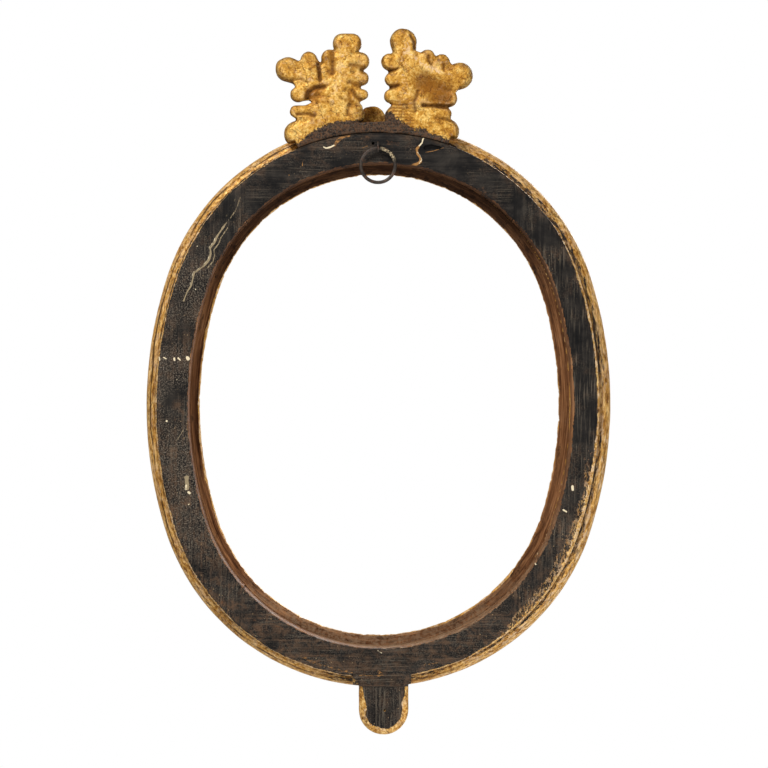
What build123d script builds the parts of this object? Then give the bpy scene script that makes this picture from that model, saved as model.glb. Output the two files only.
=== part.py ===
from build123d import *

import math
import os

# Carved and gilt oval picture frame, empty, hung on its wall.
# Upright, +Z up. The back lies in the plane y = 0 and the gilt face looks towards -Y.
# The origin is the centre of the oval, in the plane of the back.
# Every piece is drawn flat first, x across, y up the wall, z forward from the back, and is
# stood upright when it is written. Lengths are in millimetres, directions in degrees
# from +x towards +y. Left and right are as seen from the front.

# Picture opening: an oval of four tangent arcs
SIGHT_HALF_WIDTH = 144.5
EXTRA_HALF_HEIGHT = 40.0  # half-height less half-width
SIDE_ARC_CENTRE = 150.0  # how far past the axis the side arcs have their centres

# Back frame: two stiles and two rails, half-lapped at the four diagonals
BOARD_THICKNESS = 20.0
BOARD_WIDTH = 24.0
BOARD_EDGE_CHAMFER = 2.0
BOARD_SHIFT = 0.8  # the outer edge was sawn slightly off the opening's centre
RABBET_SHIFT = -1.6  # and so was the rabbet, the other way
LAP_BACK_DIRECTION = 47.5  # where the upright shoulders on the back cross the boards
LAP_FRONT_DIRECTION = 27.0  # where the level shoulders behind the moulding cross them
PEG_DIRECTION = 37.0
PEG_RADIUS = 3.0
PEG_SKIN = 4.0  # wood left over the pegs on the back

# Rabbet: the seat of a picture or a mirror
LEDGE_WIDTH = 7.5
LEDGE_RELIEF = 0.5  # the ledge is planed this much below the glue face

# Front moulding, from the sight edge outwards
SIGHT_LIP = 4.0
SIGHT_BEVEL_WIDTH = 6.0
SIGHT_BEVEL_RISE = 1.5
BEAD_RADIUS = 3.5
BEAD_STEP = 1.0
HOLLOW_WALL = 3.5  # wood left behind the deepest place of the hollow
ROLL_STEP = 2.0
ROLL_RADIUS = 5.0
ROLL_DEPTH = 11.0  # the outer roll's centre, in front of the boards
OVERHANG_FLAT = 2.5
OVERHANG_FLANK = 9.0
MOULDING_JOINTS = (0.0, 90.0, 180.0, 262.0, 360.0)

# Carved crest: two leaf sprays and a boss between them
LEAF_PLANK_BACK = 4.0
LEAF_PLANK_FRONT = 30.0
LEAF_SEAT = 4.0  # how far the sprays reach down inside the moulding's outer edge
LEAF_FOOT_RISE = 9.3
LOBE_SET = 0.8  # depth of a lobe's middle behind the plank's back, for each mm of its radius
BLADE_SET = 1.2  # how far the blade lies in front of the plank's back
BLADE_THICKNESS = 13.0
BOSS_PLACE = (6.4, 1.3)
BOSS_RADIUS = 11.4
BOSS_BACK = 22.5
BOSS_RIM = 7.5
BOSS_DOME = 7.0
BOSS_EDGE = 1.0
DOWEL_RADIUS = 2.5
DOWEL_REACH = 11.0  # into each of the two pieces
DOWEL_DEPTH = 11.0

# Pendant: a rounded drop whose tongue is let into the back of the bottom rail
DROP_PLACE = -5.4
DROP_RADIUS = 19.8
DROP_LENGTH = 33.8  # below the moulding's lowest edge
DROP_BACK = 1.0
DROP_THICKNESS = 22.0
DROP_BACK_ROUND = 4.5
DROP_FRONT_ROUND = 6.0
TONGUE_PLACE = -4.0
TONGUE_WIDTH = 46.0
TONGUE_LAP = 17.0
TONGUE_DEPTH = 8.0
BLOCK_SETBACK = 5.2  # of the tongue's block inside the moulding's outer edge

# Hanger: an iron split pin and a ring bent from wire
HANGER_PLACE = 1.6
PIN_RISE = -0.2  # above the middle of the top rail
PIN_WIRE = 1.8
PIN_LENGTH = 14.0
PIN_SHANK_RADIUS = 1.5
PIN_SPLIT = 0.2
EYE_INNER_RADIUS = 2.6
EYE_STAND_OFF = 0.2
RING_RADIUS = 13.5  # to the middle of the wire
RING_WIRE = 2.6
RING_GAP = 0.6
RING_GAP_DIRECTION = 131.0

# Clearances
GLUE_LINE = 0.15
HOLE_CLEARANCE = 0.1
HOLE_END_CLEARANCE = 0.5
RING_CLEARANCE = 0.3

# Worked out from the sizes above
END_ARC_CENTRE = EXTRA_HALF_HEIGHT + EXTRA_HALF_HEIGHT**2 / (2 * (SIDE_ARC_CENTRE - EXTRA_HALF_HEIGHT))
SIDE_RADIUS = SIGHT_HALF_WIDTH + SIDE_ARC_CENTRE
END_RADIUS = SIGHT_HALF_WIDTH + EXTRA_HALF_HEIGHT - END_ARC_CENTRE
BOARD_OUTSIDE = LEDGE_WIDTH + BOARD_WIDTH
BOARD_MIDDLE = LEDGE_WIDTH + BOARD_WIDTH / 2
HALF_LAP = BOARD_THICKNESS / 2
FLANK_START = BOARD_OUTSIDE + OVERHANG_FLAT
MOULDING_WIDTH = FLANK_START + OVERHANG_FLANK
RIM_TOP = SIGHT_HALF_WIDTH + EXTRA_HALF_HEIGHT + MOULDING_WIDTH
BEAD_CENTRE_DEPTH = SIGHT_LIP + SIGHT_BEVEL_RISE + SIGHT_BEVEL_RISE
WIDE = 2 * (RIM_TOP + SIDE_ARC_CENTRE)

# Where the sprays' feet meet, as a direction from the upper arc's centre
CREST_JOINT = 88.0

# Lobes of a spray: root and tip as (across, above the rim), with the radius of each.
# The blade is the flat leaf between the lobes, in the same places.
RIGHT_SPRAY = (
    ((44.0, 2.0), 12.0, (28.0, 46.0), 10.0),
    ((30.0, 60.0), 8.4, (23.2, 60.2), 8.2),
    ((28.0, 42.0), 8.0, (15.6, 46.0), 7.2),
    ((29.0, 30.0), 8.0, (14.6, 32.0), 5.8),
    ((30.0, 17.0), 8.0, (13.6, 19.3), 4.6),
    ((38.0, 2.0), 11.0, (25.5, 3.5), 9.0),
    ((34.0, 36.0), 8.0, (40.6, 48.2), 7.0),
    ((42.0, 14.0), 10.0, (48.0, 28.0), 9.0),
    ((49.0, 30.0), 8.0, (57.0, 46.5), 7.0),
    ((52.0, 31.0), 8.5, (74.0, 39.7), 10.0),
    ((49.0, 25.0), 7.5, (65.5, 19.2), 6.3),
    ((50.0, 2.5), 8.5, (66.8, 5.4), 5.4),
    ((54.0, -8.0), 9.0, (66.0, -12.0), 11.0),
)
RIGHT_BLADE = (
    (22.0, 55.0),
    (16.5, 47.0),
    (16.0, 20.0),
    (19.0, 6.0),
    (30.0, -7.0),
    (66.0, -19.0),
    (72.0, -8.0),
    (63.0, 2.0),
    (66.0, 7.0),
    (53.0, 13.5),
    (64.0, 19.0),
    (73.0, 35.0),
    (70.0, 43.0),
    (57.0, 49.0),
    (49.5, 38.0),
    (42.0, 50.0),
    (33.0, 56.0),
)
RIGHT_FOOT = (67.5, CREST_JOINT)
LEFT_SPRAY = (
    ((-32.0, 2.0), 12.0, (-19.0, 47.0), 9.5),
    ((-19.5, 48.0), 8.0, (-18.0, 62.0), 11.0),
    ((-21.0, 42.0), 8.0, (-7.2, 45.5), 7.2),
    ((-22.0, 30.0), 8.0, (-8.9, 31.5), 6.1),
    ((-24.0, 17.0), 8.5, (-8.6, 18.3), 6.1),
    ((-27.0, 1.0), 10.0, (-12.8, 2.2), 9.3),
    ((-33.0, 14.0), 12.0, (-37.0, 30.0), 11.0),
    ((-30.0, 38.0), 9.0, (-37.0, 49.4), 6.3),
    ((-38.0, 34.0), 10.0, (-49.0, 45.4), 6.8),
    ((-42.0, 29.0), 11.0, (-63.4, 35.6), 10.6),
    ((-40.0, 19.0), 10.0, (-55.0, 16.6), 6.6),
    ((-40.0, 5.0), 9.0, (-51.5, 4.3), 5.5),
    ((-42.0, -5.0), 9.0, (-53.0, -9.0), 10.0),
)
LEFT_BLADE = (
    (-24.0, 56.0),
    (-37.0, 51.0),
    (-49.0, 47.0),
    (-66.0, 40.0),
    (-66.0, 30.0),
    (-57.0, 18.0),
    (-53.0, 11.0),
    (-54.0, 4.0),
    (-58.0, -8.0),
    (-54.0, -16.0),
    (-18.0, -5.0),
    (-9.0, 4.0),
    (-9.0, 46.0),
    (-13.0, 55.0),
)
LEFT_FOOT = (CREST_JOINT, 108.5)


def arc_runs(start, end):
    """Arcs of the sight oval between two directions of its normal: centre, radius, first, last."""
    corner = math.degrees(math.atan2(END_ARC_CENTRE, SIDE_ARC_CENTRE))
    arcs = (
        (-SIDE_ARC_CENTRE, 0, SIDE_RADIUS, -corner, corner),
        (0, END_ARC_CENTRE, END_RADIUS, corner, 180 - corner),
        (SIDE_ARC_CENTRE, 0, SIDE_RADIUS, 180 - corner, 180 + corner),
        (0, -END_ARC_CENTRE, END_RADIUS, 180 + corner, 360 - corner),
        (-SIDE_ARC_CENTRE, 0, SIDE_RADIUS, 360 - corner, 360 + corner),
    )
    for x, y, radius, first, last in arcs:
        run_start = max(start, first)
        run_end = min(end, last)
        if run_start < run_end:
            yield (x, y), radius, run_start, run_end


def on_end_arc(direction, offset):
    """Point of the upper end arc in a direction of its normal, at an offset outside the sight edge."""
    angle = math.radians(direction)
    radius = END_RADIUS + offset
    return radius * math.cos(angle), END_ARC_CENTRE + radius * math.sin(angle)


def oval(offset, shift=0.0):
    """Face inside the oval that lies at an offset outside the sight edge."""
    edges = [
        CenterArc((x + shift, y), radius + offset, first, last - first)
        for (x, y), radius, first, last in arc_runs(0, 360)
    ]
    return make_face(edges)


def carried_round(profile, start, end):
    """Solid of a profile, drawn as (offset, depth), that is carried round the oval."""
    runs = []
    for (x, y), radius, first, last in arc_runs(start, end):
        angle = math.radians(first)
        outwards = (math.cos(angle), math.sin(angle), 0)
        along = (math.sin(angle), -math.cos(angle), 0)
        section = Plane((x, y, 0), outwards, along) * Pos(radius, 0) * profile
        runs.append(revolve(section, Axis((x, y, 0), (0, 0, 1)), last - first))
    return Part() + runs


def slab(depth, thickness):
    """Plate that is wider than the frame, between two depths."""
    return Pos(0, 0, depth) * Box(WIDE, WIDE, thickness, align=(Align.CENTER, Align.CENTER, Align.MIN))


def rectangle(low, high):
    """Rectangle between two opposite corners."""
    size = Vector(*high) - Vector(*low)
    return Pos(*low) * Rectangle(size.X, size.Y, align=Align.MIN)


def moulding_profile():
    """Section of the front moulding, as (offset from the sight edge, depth)."""
    bead_inside = SIGHT_BEVEL_WIDTH
    bead_outside = bead_inside + 2 * BEAD_RADIUS
    roll_inside = MOULDING_WIDTH - 2 * ROLL_RADIUS
    hollow_start = (bead_outside, BEAD_CENTRE_DEPTH - BEAD_STEP)
    hollow_end = (roll_inside, ROLL_DEPTH - ROLL_STEP)
    hollow_floor = ((bead_outside + roll_inside) / 2, HOLLOW_WALL)
    bead_top = (bead_inside + BEAD_RADIUS, BEAD_CENTRE_DEPTH + BEAD_RADIUS)
    roll_top = (roll_inside + ROLL_RADIUS, ROLL_DEPTH + ROLL_RADIUS)
    rim = (MOULDING_WIDTH, ROLL_DEPTH)
    inner_edge = Polyline(
        (FLANK_START, 0),
        (0, 0),
        (0, SIGHT_LIP),
        (bead_inside, SIGHT_LIP + SIGHT_BEVEL_RISE),
        (bead_inside, BEAD_CENTRE_DEPTH),
    )
    bead = ThreePointArc(inner_edge @ 1, bead_top, (bead_outside, BEAD_CENTRE_DEPTH))
    bead_fall = Line(bead @ 1, hollow_start)
    hollow = ThreePointArc(hollow_start, hollow_floor, hollow_end)
    roll_rise = Line(hollow_end, (roll_inside, ROLL_DEPTH))
    roll = ThreePointArc(roll_rise @ 1, roll_top, rim)
    flank = TangentArc(rim, (FLANK_START, 0), tangent=(0, -1))
    outline = inner_edge + [bead, bead_fall, hollow, roll_rise, roll, flank]
    return Pos(0, BOARD_THICKNESS) * make_face(outline)


def rabbet_prism(inset, depth):
    """Space inside the rabbet's wall, from the back to a depth."""
    return extrude(oval(LEDGE_WIDTH - inset, RABBET_SHIFT), depth)


def back_ring():
    """The four boards of the back frame before they are parted."""
    blank = extrude(oval(BOARD_OUTSIDE, BOARD_SHIFT), BOARD_THICKNESS)
    blank = chamfer(blank.edges().group_by(Axis.Z)[0], BOARD_EDGE_CHAMFER)
    return blank - rabbet_prism(0, BOARD_THICKNESS)


def back_boards():
    """Stiles and rails: the stiles keep the back of each lap, the rails its front."""
    shoulder_x = on_end_arc(LAP_BACK_DIRECTION, BOARD_MIDDLE)[0]
    shoulder_y = on_end_arc(LAP_FRONT_DIRECTION, BOARD_MIDDLE)[1]
    back = slab(0, HALF_LAP)
    front = slab(HALF_LAP, BOARD_THICKNESS - HALF_LAP)
    middle_back = Box(2 * shoulder_x, WIDE, WIDE)
    middle_front = Box(WIDE, 2 * shoulder_y, WIDE)
    right_side = Pos(WIDE / 2, 0, 0) * Box(WIDE, WIDE, WIDE)
    upper_side = Pos(0, WIDE / 2, 0) * Box(WIDE, WIDE, WIDE)
    stiles = (back - middle_back) + (front & middle_front)
    rails = (back & middle_back) + (front - middle_front)
    ring = back_ring()
    stiles = ring & stiles
    rails = ring & rails
    return {
        "right_stile": stiles & right_side,
        "left_stile": stiles - right_side,
        "top_rail": rails & upper_side,
        "bottom_rail": rails - upper_side,
    }


def lap_pegs(clearance=0.0):
    """Blind peg of each lap, driven from the front before the moulding is glued on."""
    x, y = on_end_arc(PEG_DIRECTION, BOARD_MIDDLE)
    deep_end = PEG_SKIN if clearance else PEG_SKIN + HOLE_END_CLEARANCE
    peg = Cylinder(
        PEG_RADIUS + clearance,
        BOARD_THICKNESS - deep_end,
        align=(Align.CENTER, Align.CENTER, Align.MIN),
    )
    places = [(sx * x, sy * y, deep_end) for sx in (1, -1) for sy in (1, -1)]
    return Part() + [Pos(*place) * peg for place in places]


def seat_cutter():
    """What the crest and the pendant are fitted to: boards and moulding, grown by a glue line."""
    moulding = offset(moulding_profile(), GLUE_LINE)
    edge = extrude(oval(BOARD_OUTSIDE + GLUE_LINE, BOARD_SHIFT), BOARD_THICKNESS)
    return carried_round(moulding, 0, 360), edge


def lobe(root, root_radius, tip, tip_radius):
    """Tapering round-ended lobe from its root in the leaf to its tip, turned as one profile."""
    start = Vector(*root, LEAF_PLANK_BACK + LOBE_SET * root_radius)
    end = Vector(*tip, LEAF_PLANK_BACK + LOBE_SET * tip_radius)
    length = (end - start).length
    sine = (root_radius - tip_radius) / length
    cosine = math.sqrt(1 - sine**2)
    half_sine = math.sqrt((1 - sine) / 2)
    half_cosine = math.sqrt((1 + sine) / 2)
    root_touch = (root_radius * sine, root_radius * cosine)
    tip_touch = (length + tip_radius * sine, tip_radius * cosine)
    root_cap = ThreePointArc(
        (-root_radius, 0),
        (-root_radius * half_sine, root_radius * half_cosine),
        root_touch,
    )
    side = Line(root_touch, tip_touch)
    tip_cap = ThreePointArc(
        tip_touch,
        (length + tip_radius * half_cosine, tip_radius * half_sine),
        (length + tip_radius, 0),
    )
    axis_line = Line(tip_cap @ 1, root_cap @ 0)
    profile = make_face([root_cap, side, tip_cap, axis_line])
    plane = Plane(start, x_dir=end - start, z_dir=(end - start).cross(Vector(0, 0, 1)))
    return revolve(plane * profile, Axis(start, end - start), 360)


def crest_dowel(foot, clearance=0.0):
    """Dowel that holds a spray's foot on the outer edge of the top rail."""
    direction = sum(foot) / 2
    angle = math.radians(direction)
    reach = DOWEL_REACH + (HOLE_END_CLEARANCE if clearance else 0)
    x, y = on_end_arc(direction, BOARD_OUTSIDE)
    plane = Plane((x, y, DOWEL_DEPTH), z_dir=(math.cos(angle), math.sin(angle), 0))
    return plane * Cylinder(DOWEL_RADIUS + clearance, 2 * reach)


def spray(lobes, blade, foot):
    """Carved leaf spray, cut from a plank, on a foot that lies along the board's outer edge."""
    outline = make_face(Polyline(*blade, close=True))
    leaf = Pos(0, 0, LEAF_PLANK_BACK + BLADE_SET) * extrude(outline, BLADE_THICKNESS)
    for one in lobes:
        leaf += lobe(*one)
    leaf &= slab(LEAF_PLANK_BACK, LEAF_PLANK_FRONT - LEAF_PLANK_BACK)
    leaf = Pos(0, RIM_TOP) * leaf
    leaf -= extrude(oval(MOULDING_WIDTH - LEAF_SEAT), LEAF_PLANK_FRONT)
    foot_section = rectangle(
        (BOARD_OUTSIDE, LEAF_PLANK_BACK),
        (BOARD_OUTSIDE + LEAF_FOOT_RISE, BOARD_THICKNESS),
    )
    leaf += carried_round(foot_section, *foot)
    for cutter in seat_cutter():
        leaf -= cutter
    return leaf - crest_dowel(foot, HOLE_CLEARANCE)


def crest_boss():
    """Domed boss between the sprays, fitted to the moulding's outer roll."""
    rim_depth = BOSS_BACK + BOSS_RIM
    back = Polyline(
        (0, rim_depth + BOSS_DOME),
        (0, BOSS_BACK),
        (BOSS_RADIUS - BOSS_EDGE, BOSS_BACK),
        (BOSS_RADIUS, BOSS_BACK + BOSS_EDGE),
        (BOSS_RADIUS, rim_depth),
    )
    dome_radius = (BOSS_RADIUS**2 + BOSS_DOME**2) / (2 * BOSS_DOME)
    dome = RadiusArc(back @ 1, back @ 0, -dome_radius)
    across, rise = BOSS_PLACE
    axis = Axis((across, RIM_TOP + rise, 0), (0, 0, 1))
    section = Plane(axis.position, x_dir=(1, 0, 0), z_dir=(0, -1, 0)) * make_face(back + [dome])
    boss = revolve(section, axis, 360)
    for cutter in seat_cutter():
        boss -= cutter
    return boss


def tongue_plan(clearance=0.0):
    """Outline of the pendant's tongue, from inside the bottom rail's back to past its edge."""
    half_width = TONGUE_WIDTH / 2 + clearance
    edge = BOARD_OUTSIDE + SIGHT_HALF_WIDTH + EXTRA_HALF_HEIGHT
    return rectangle(
        (TONGUE_PLACE - half_width, -RIM_TOP),
        (TONGUE_PLACE + half_width, TONGUE_LAP - edge + clearance),
    )


def pendant():
    """Rounded drop under the frame, with its block and its tongue in one piece."""
    block = extrude(tongue_plan() & oval(MOULDING_WIDTH - BLOCK_SETBACK), BOARD_THICKNESS)
    round_centre = DROP_RADIUS - DROP_LENGTH - RIM_TOP
    top = OVERHANG_FLANK - RIM_TOP
    plan = Pos(DROP_PLACE, round_centre) * Circle(DROP_RADIUS)
    plan += rectangle((DROP_PLACE - DROP_RADIUS, round_centre), (DROP_PLACE + DROP_RADIUS, top))
    drop = Pos(0, 0, DROP_BACK) * extrude(plan, DROP_THICKNESS)
    for side, round_size in ((0, DROP_BACK_ROUND), (-1, DROP_FRONT_ROUND)):
        rounded = [e for e in drop.edges().group_by(Axis.Z)[side] if e.center().Y < top - DROP_BACK]
        drop = fillet(rounded, round_size)
    moulding, _ = seat_cutter()
    board = extrude(oval(BOARD_OUTSIDE + GLUE_LINE, BOARD_SHIFT), BOARD_THICKNESS - TONGUE_DEPTH)
    return block + drop - moulding - Pos(0, 0, TONGUE_DEPTH) * board


def hanger_height():
    """Height of the split pin's axis."""
    return SIGHT_HALF_WIDTH + EXTRA_HALF_HEIGHT + BOARD_MIDDLE + PIN_RISE


def eye_depth():
    """Depth of the eye's centre, behind the back."""
    return -(EYE_STAND_OFF + PIN_WIRE + EYE_INNER_RADIUS)


def pin_shank(clearance=0.0):
    """Round shank of the split pin, from inside its eye's wire into the rail."""
    start = -(EYE_STAND_OFF + PIN_WIRE / 2)
    end = PIN_LENGTH + (HOLE_END_CLEARANCE if clearance else 0)
    shank = Cylinder(
        PIN_SHANK_RADIUS + clearance,
        end - start,
        align=(Align.CENTER, Align.CENTER, Align.MIN),
    )
    return Pos(HANGER_PLACE, hanger_height(), start) * shank


def split_pin():
    """Pin folded from half-round iron wire, with an eye for the ring."""
    split = Pos(HANGER_PLACE, hanger_height(), PIN_LENGTH) * Box(PIN_WIRE * 2, PIN_SPLIT, 2 * PIN_LENGTH)
    eye = Torus(EYE_INNER_RADIUS + PIN_WIRE / 2, PIN_WIRE / 2)
    return pin_shank() - split + Pos(HANGER_PLACE, hanger_height(), eye_depth()) * Rot(0, 90, 0) * eye


def hanging_ring():
    """Wire ring that hangs in the eye, its two ends butted with a narrow gap."""
    top = hanger_height() - EYE_INNER_RADIUS + RING_WIRE / 2 + RING_CLEARANCE
    centre = Vector(HANGER_PLACE, top - RING_RADIUS, eye_depth())
    gap = math.degrees(RING_GAP / RING_RADIUS)
    start = math.radians(RING_GAP_DIRECTION + gap / 2)
    outwards = Vector(math.cos(start), math.sin(start), 0)
    section = Plane(centre, outwards, outwards.cross(Vector(0, 0, 1)))
    wire = section * Pos(RING_RADIUS, 0) * Circle(RING_WIRE / 2)
    return revolve(wire, Axis(centre, (0, 0, 1)), 360 - gap)


def mouldings():
    """Four lengths of gilt moulding, butted end to end, with the rabbet's ledge planed into them."""
    names = ("moulding_top_right", "moulding_top_left", "moulding_bottom_left", "moulding_bottom_right")
    ledge = rabbet_prism(GLUE_LINE, BOARD_THICKNESS + LEDGE_RELIEF)
    profile = moulding_profile()
    spans = zip(MOULDING_JOINTS, MOULDING_JOINTS[1:])
    return {name: carried_round(profile, *span) - ledge for name, span in zip(names, spans)}


def pieces():
    """Every piece of the frame by its name."""
    made = {**back_boards(), **mouldings()}
    peg_holes = lap_pegs(HOLE_CLEARANCE)
    for name in ("right_stile", "left_stile", "top_rail", "bottom_rail"):
        made[name] -= peg_holes
    for foot in (RIGHT_FOOT, LEFT_FOOT):
        made["top_rail"] -= crest_dowel(foot, HOLE_CLEARANCE)
    made["top_rail"] -= pin_shank(HOLE_CLEARANCE)
    made["bottom_rail"] -= extrude(tongue_plan(GLUE_LINE), TONGUE_DEPTH + GLUE_LINE)
    made["lap_pegs"] = lap_pegs()
    made["crest_right_leaf"] = spray(RIGHT_SPRAY, RIGHT_BLADE, RIGHT_FOOT)
    made["crest_left_leaf"] = spray(LEFT_SPRAY, LEFT_BLADE, LEFT_FOOT)
    made["crest_boss"] = crest_boss()
    made["crest_dowels"] = crest_dowel(RIGHT_FOOT) + crest_dowel(LEFT_FOOT)
    made["pendant"] = pendant()
    made["split_pin"] = split_pin()
    made["hanging_ring"] = hanging_ring()
    return made


os.makedirs("parts", exist_ok=True)
for piece_name, piece in pieces().items():
    export_step(Plane.XZ * piece, f"parts/{piece_name}.step")
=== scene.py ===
"""Carved and gilt oval picture frame with a black painted back, dressed and lit, seen from behind."""

import itertools
import logging
import math
from dataclasses import dataclass, replace
from enum import Enum
from typing import Callable, Sequence

import bmesh
import bpy
import numpy as np
from mathutils import Matrix, Vector


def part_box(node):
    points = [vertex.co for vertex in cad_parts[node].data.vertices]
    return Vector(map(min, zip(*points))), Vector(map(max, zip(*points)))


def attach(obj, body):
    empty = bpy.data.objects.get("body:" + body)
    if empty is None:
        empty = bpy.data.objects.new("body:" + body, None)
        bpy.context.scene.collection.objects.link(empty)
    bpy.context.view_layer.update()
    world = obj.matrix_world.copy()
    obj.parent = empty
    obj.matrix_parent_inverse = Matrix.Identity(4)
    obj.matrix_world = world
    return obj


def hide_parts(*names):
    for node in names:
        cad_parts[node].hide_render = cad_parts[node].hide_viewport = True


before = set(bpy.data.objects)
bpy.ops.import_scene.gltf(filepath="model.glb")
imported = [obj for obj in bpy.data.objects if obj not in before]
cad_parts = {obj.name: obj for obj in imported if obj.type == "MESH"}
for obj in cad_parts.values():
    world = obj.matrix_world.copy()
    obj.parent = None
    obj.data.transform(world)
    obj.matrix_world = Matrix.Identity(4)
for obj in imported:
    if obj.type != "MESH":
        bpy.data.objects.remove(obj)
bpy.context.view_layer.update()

# Lengths in this file are millimetres of the frame: x across, y towards the wall, z up.
MM = 0.001
SHARP_EDGE = 55.0  # degrees between faces that meet in a hard line
LOG = logging.getLogger("oval_frame")

Array = np.ndarray
Colour = tuple[float, float, float, float]
Place = tuple[float, float]
Socket = bpy.types.NodeSocket
Shade = Socket | float


def srgb(red: int, green: int, blue: int) -> Colour:
    """Turn a display colour into the linear colour that a shader takes.

    Args:
        red: Red from 0 to 255.
        green: Green from 0 to 255.
        blue: Blue from 0 to 255.

    Returns:
        The linear colour, with full alpha.
    """
    shares = (channel / 255 for channel in (red, green, blue))
    linear = [s / 12.92 if s <= 0.04045 else ((s + 0.055) / 1.055) ** 2.4 for s in shares]
    return (*linear, 1.0)


def unit(values: Array) -> Array:
    """Hold values between 0 and 1."""
    return np.clip(values, 0, 1)


def ease(values: Array, low: float, high: float) -> Array:
    """Rise smoothly from 0 at low to 1 at high.

    Args:
        values: What is compared with the two limits.
        low: Where the rise starts. It may be above high, for a fall.
        high: Where it ends.

    Returns:
        Shares from 0 to 1.
    """
    share = unit((values - low) / (high - low))
    return share * share * (3 - 2 * share)


@dataclass(frozen=True)
class Grain:
    """Repeatable uneven values over points, the same on every run."""

    seed: int

    def corner(self, cells: Array) -> Array:
        """Give the value of each lattice corner.

        Args:
            cells: Whole-numbered corners, three to a row.

        Returns:
            Values from -1 to 1.
        """
        keys = cells.astype(np.int64).astype(np.uint32)
        mixed = np.full(len(keys), self.seed * 40503 + 977, np.uint32)
        for column, prime in enumerate((374761393, 668265263, 2246822519)):
            mixed += keys[:, column] * np.uint32(prime)
        mixed = (mixed ^ (mixed >> np.uint32(13))) * np.uint32(1274126177)
        mixed ^= mixed >> np.uint32(16)
        return mixed / 2.0**31 - 1

    def at(self, points: Array, size: float | Sequence[float]) -> Array:
        """Give smooth values that change over one feature size.

        Args:
            points: Places, three numbers to a row.
            size: Feature size, or one for each axis.

        Returns:
            Values from -1 to 1.
        """
        scaled = points / np.asarray(size, float)
        base = np.floor(scaled)
        share = scaled - base
        share = share * share * (3 - 2 * share)
        total = np.zeros(len(points))
        for step in itertools.product((0, 1), repeat=3):
            weight = np.prod(np.where(step, share, 1 - share), axis=1)
            total += weight * self.corner(base + step)
        return total

    def layered(self, points: Array, size: float | Sequence[float], layers: int = 3) -> Array:
        """Give values with ever finer detail.

        Args:
            points: Places, three numbers to a row.
            size: Size of the coarsest features.
            layers: How many times the features are halved and added.

        Returns:
            Values of about -1 to 1.
        """
        total = np.zeros(len(points))
        for layer in range(layers):
            total += self.at(points + 31.7 * layer, np.asarray(size, float) / 2**layer) / 2**layer
        return total / 1.5


@dataclass(frozen=True)
class Oval:
    """Edge of the picture opening: an oval of four tangent arcs about the origin."""

    half_width: float
    half_height: float
    side_arc_centre: float

    @property
    def end_arc_centre(self) -> float:
        """Height of the upper arc's centre above the middle."""
        extra = self.half_height - self.half_width
        return extra + extra**2 / (2 * (self.side_arc_centre - extra))

    def joint(self, direction: float) -> tuple[Array, Array]:
        """Find the plane that crosses the frame square to the oval.

        Args:
            direction: Direction of the oval's normal there, in degrees from +x towards +z.

        Returns:
            A point of the plane, and its normal.
        """
        angle = math.radians(direction)
        across, up = math.cos(angle), math.sin(angle)
        if abs(up) * self.side_arc_centre < abs(across) * self.end_arc_centre:
            centre = np.array([-math.copysign(self.side_arc_centre, across), 0, 0])
        else:
            centre = np.array([0, 0, math.copysign(self.end_arc_centre, up)])
        return centre, np.array([-up, 0, across])

    def place(self, points: Array, shift: float = 0.0) -> tuple[Array, Array]:
        """Tell where points lie beside the oval.

        Args:
            points: Places, three numbers to a row.
            shift: How far the oval is moved across.

        Returns:
            Offsets outside the oval, and directions of its normal in degrees from +x towards +z.
        """
        across = points[:, 0] - shift
        rise = points[:, 2]
        side_angle = np.arctan2(np.abs(rise), np.abs(across) + self.side_arc_centre)
        on_side = side_angle < math.atan2(self.end_arc_centre, self.side_arc_centre)
        end_rise = np.abs(rise) - self.end_arc_centre
        side_offset = np.hypot(np.abs(across) + self.side_arc_centre, rise)
        side_offset -= self.half_width + self.side_arc_centre
        end_offset = np.hypot(across, end_rise) - (self.half_height - self.end_arc_centre)
        angle = np.where(on_side, side_angle, np.arctan2(end_rise, np.abs(across)))
        turned = np.arctan2(np.sin(angle) * np.sign(rise), np.cos(angle) * np.sign(across))
        return np.where(on_side, side_offset, end_offset), np.degrees(turned)


def fine_mesh(nodes: Sequence[str], grid: float) -> bpy.types.Mesh:
    """Lay one even grid over CAD pieces that touch.

    Args:
        nodes: Names of the CAD nodes.
        grid: Distance between the grid's points.

    Returns:
        The gridded surface of them all together.
    """
    mesh = bpy.data.meshes.new("even_grid")
    weld = bmesh.new()
    for node in nodes:
        weld.from_mesh(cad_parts[node].data)
    bmesh.ops.remove_doubles(weld, verts=weld.verts, dist=0.002 * MM)
    weld.to_mesh(mesh)
    weld.free()
    rough = bpy.data.objects.new("even_grid", mesh)
    bpy.context.scene.collection.objects.link(rough)
    remesh = rough.modifiers.new("even_grid", "REMESH")
    remesh.mode = "VOXEL"
    remesh.voxel_size = grid * MM
    shown = rough.evaluated_get(bpy.context.evaluated_depsgraph_get())
    made = bpy.data.meshes.new_from_object(shown)
    made.materials.clear()
    bpy.data.objects.remove(rough)
    bpy.data.meshes.remove(mesh)
    return made


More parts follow.
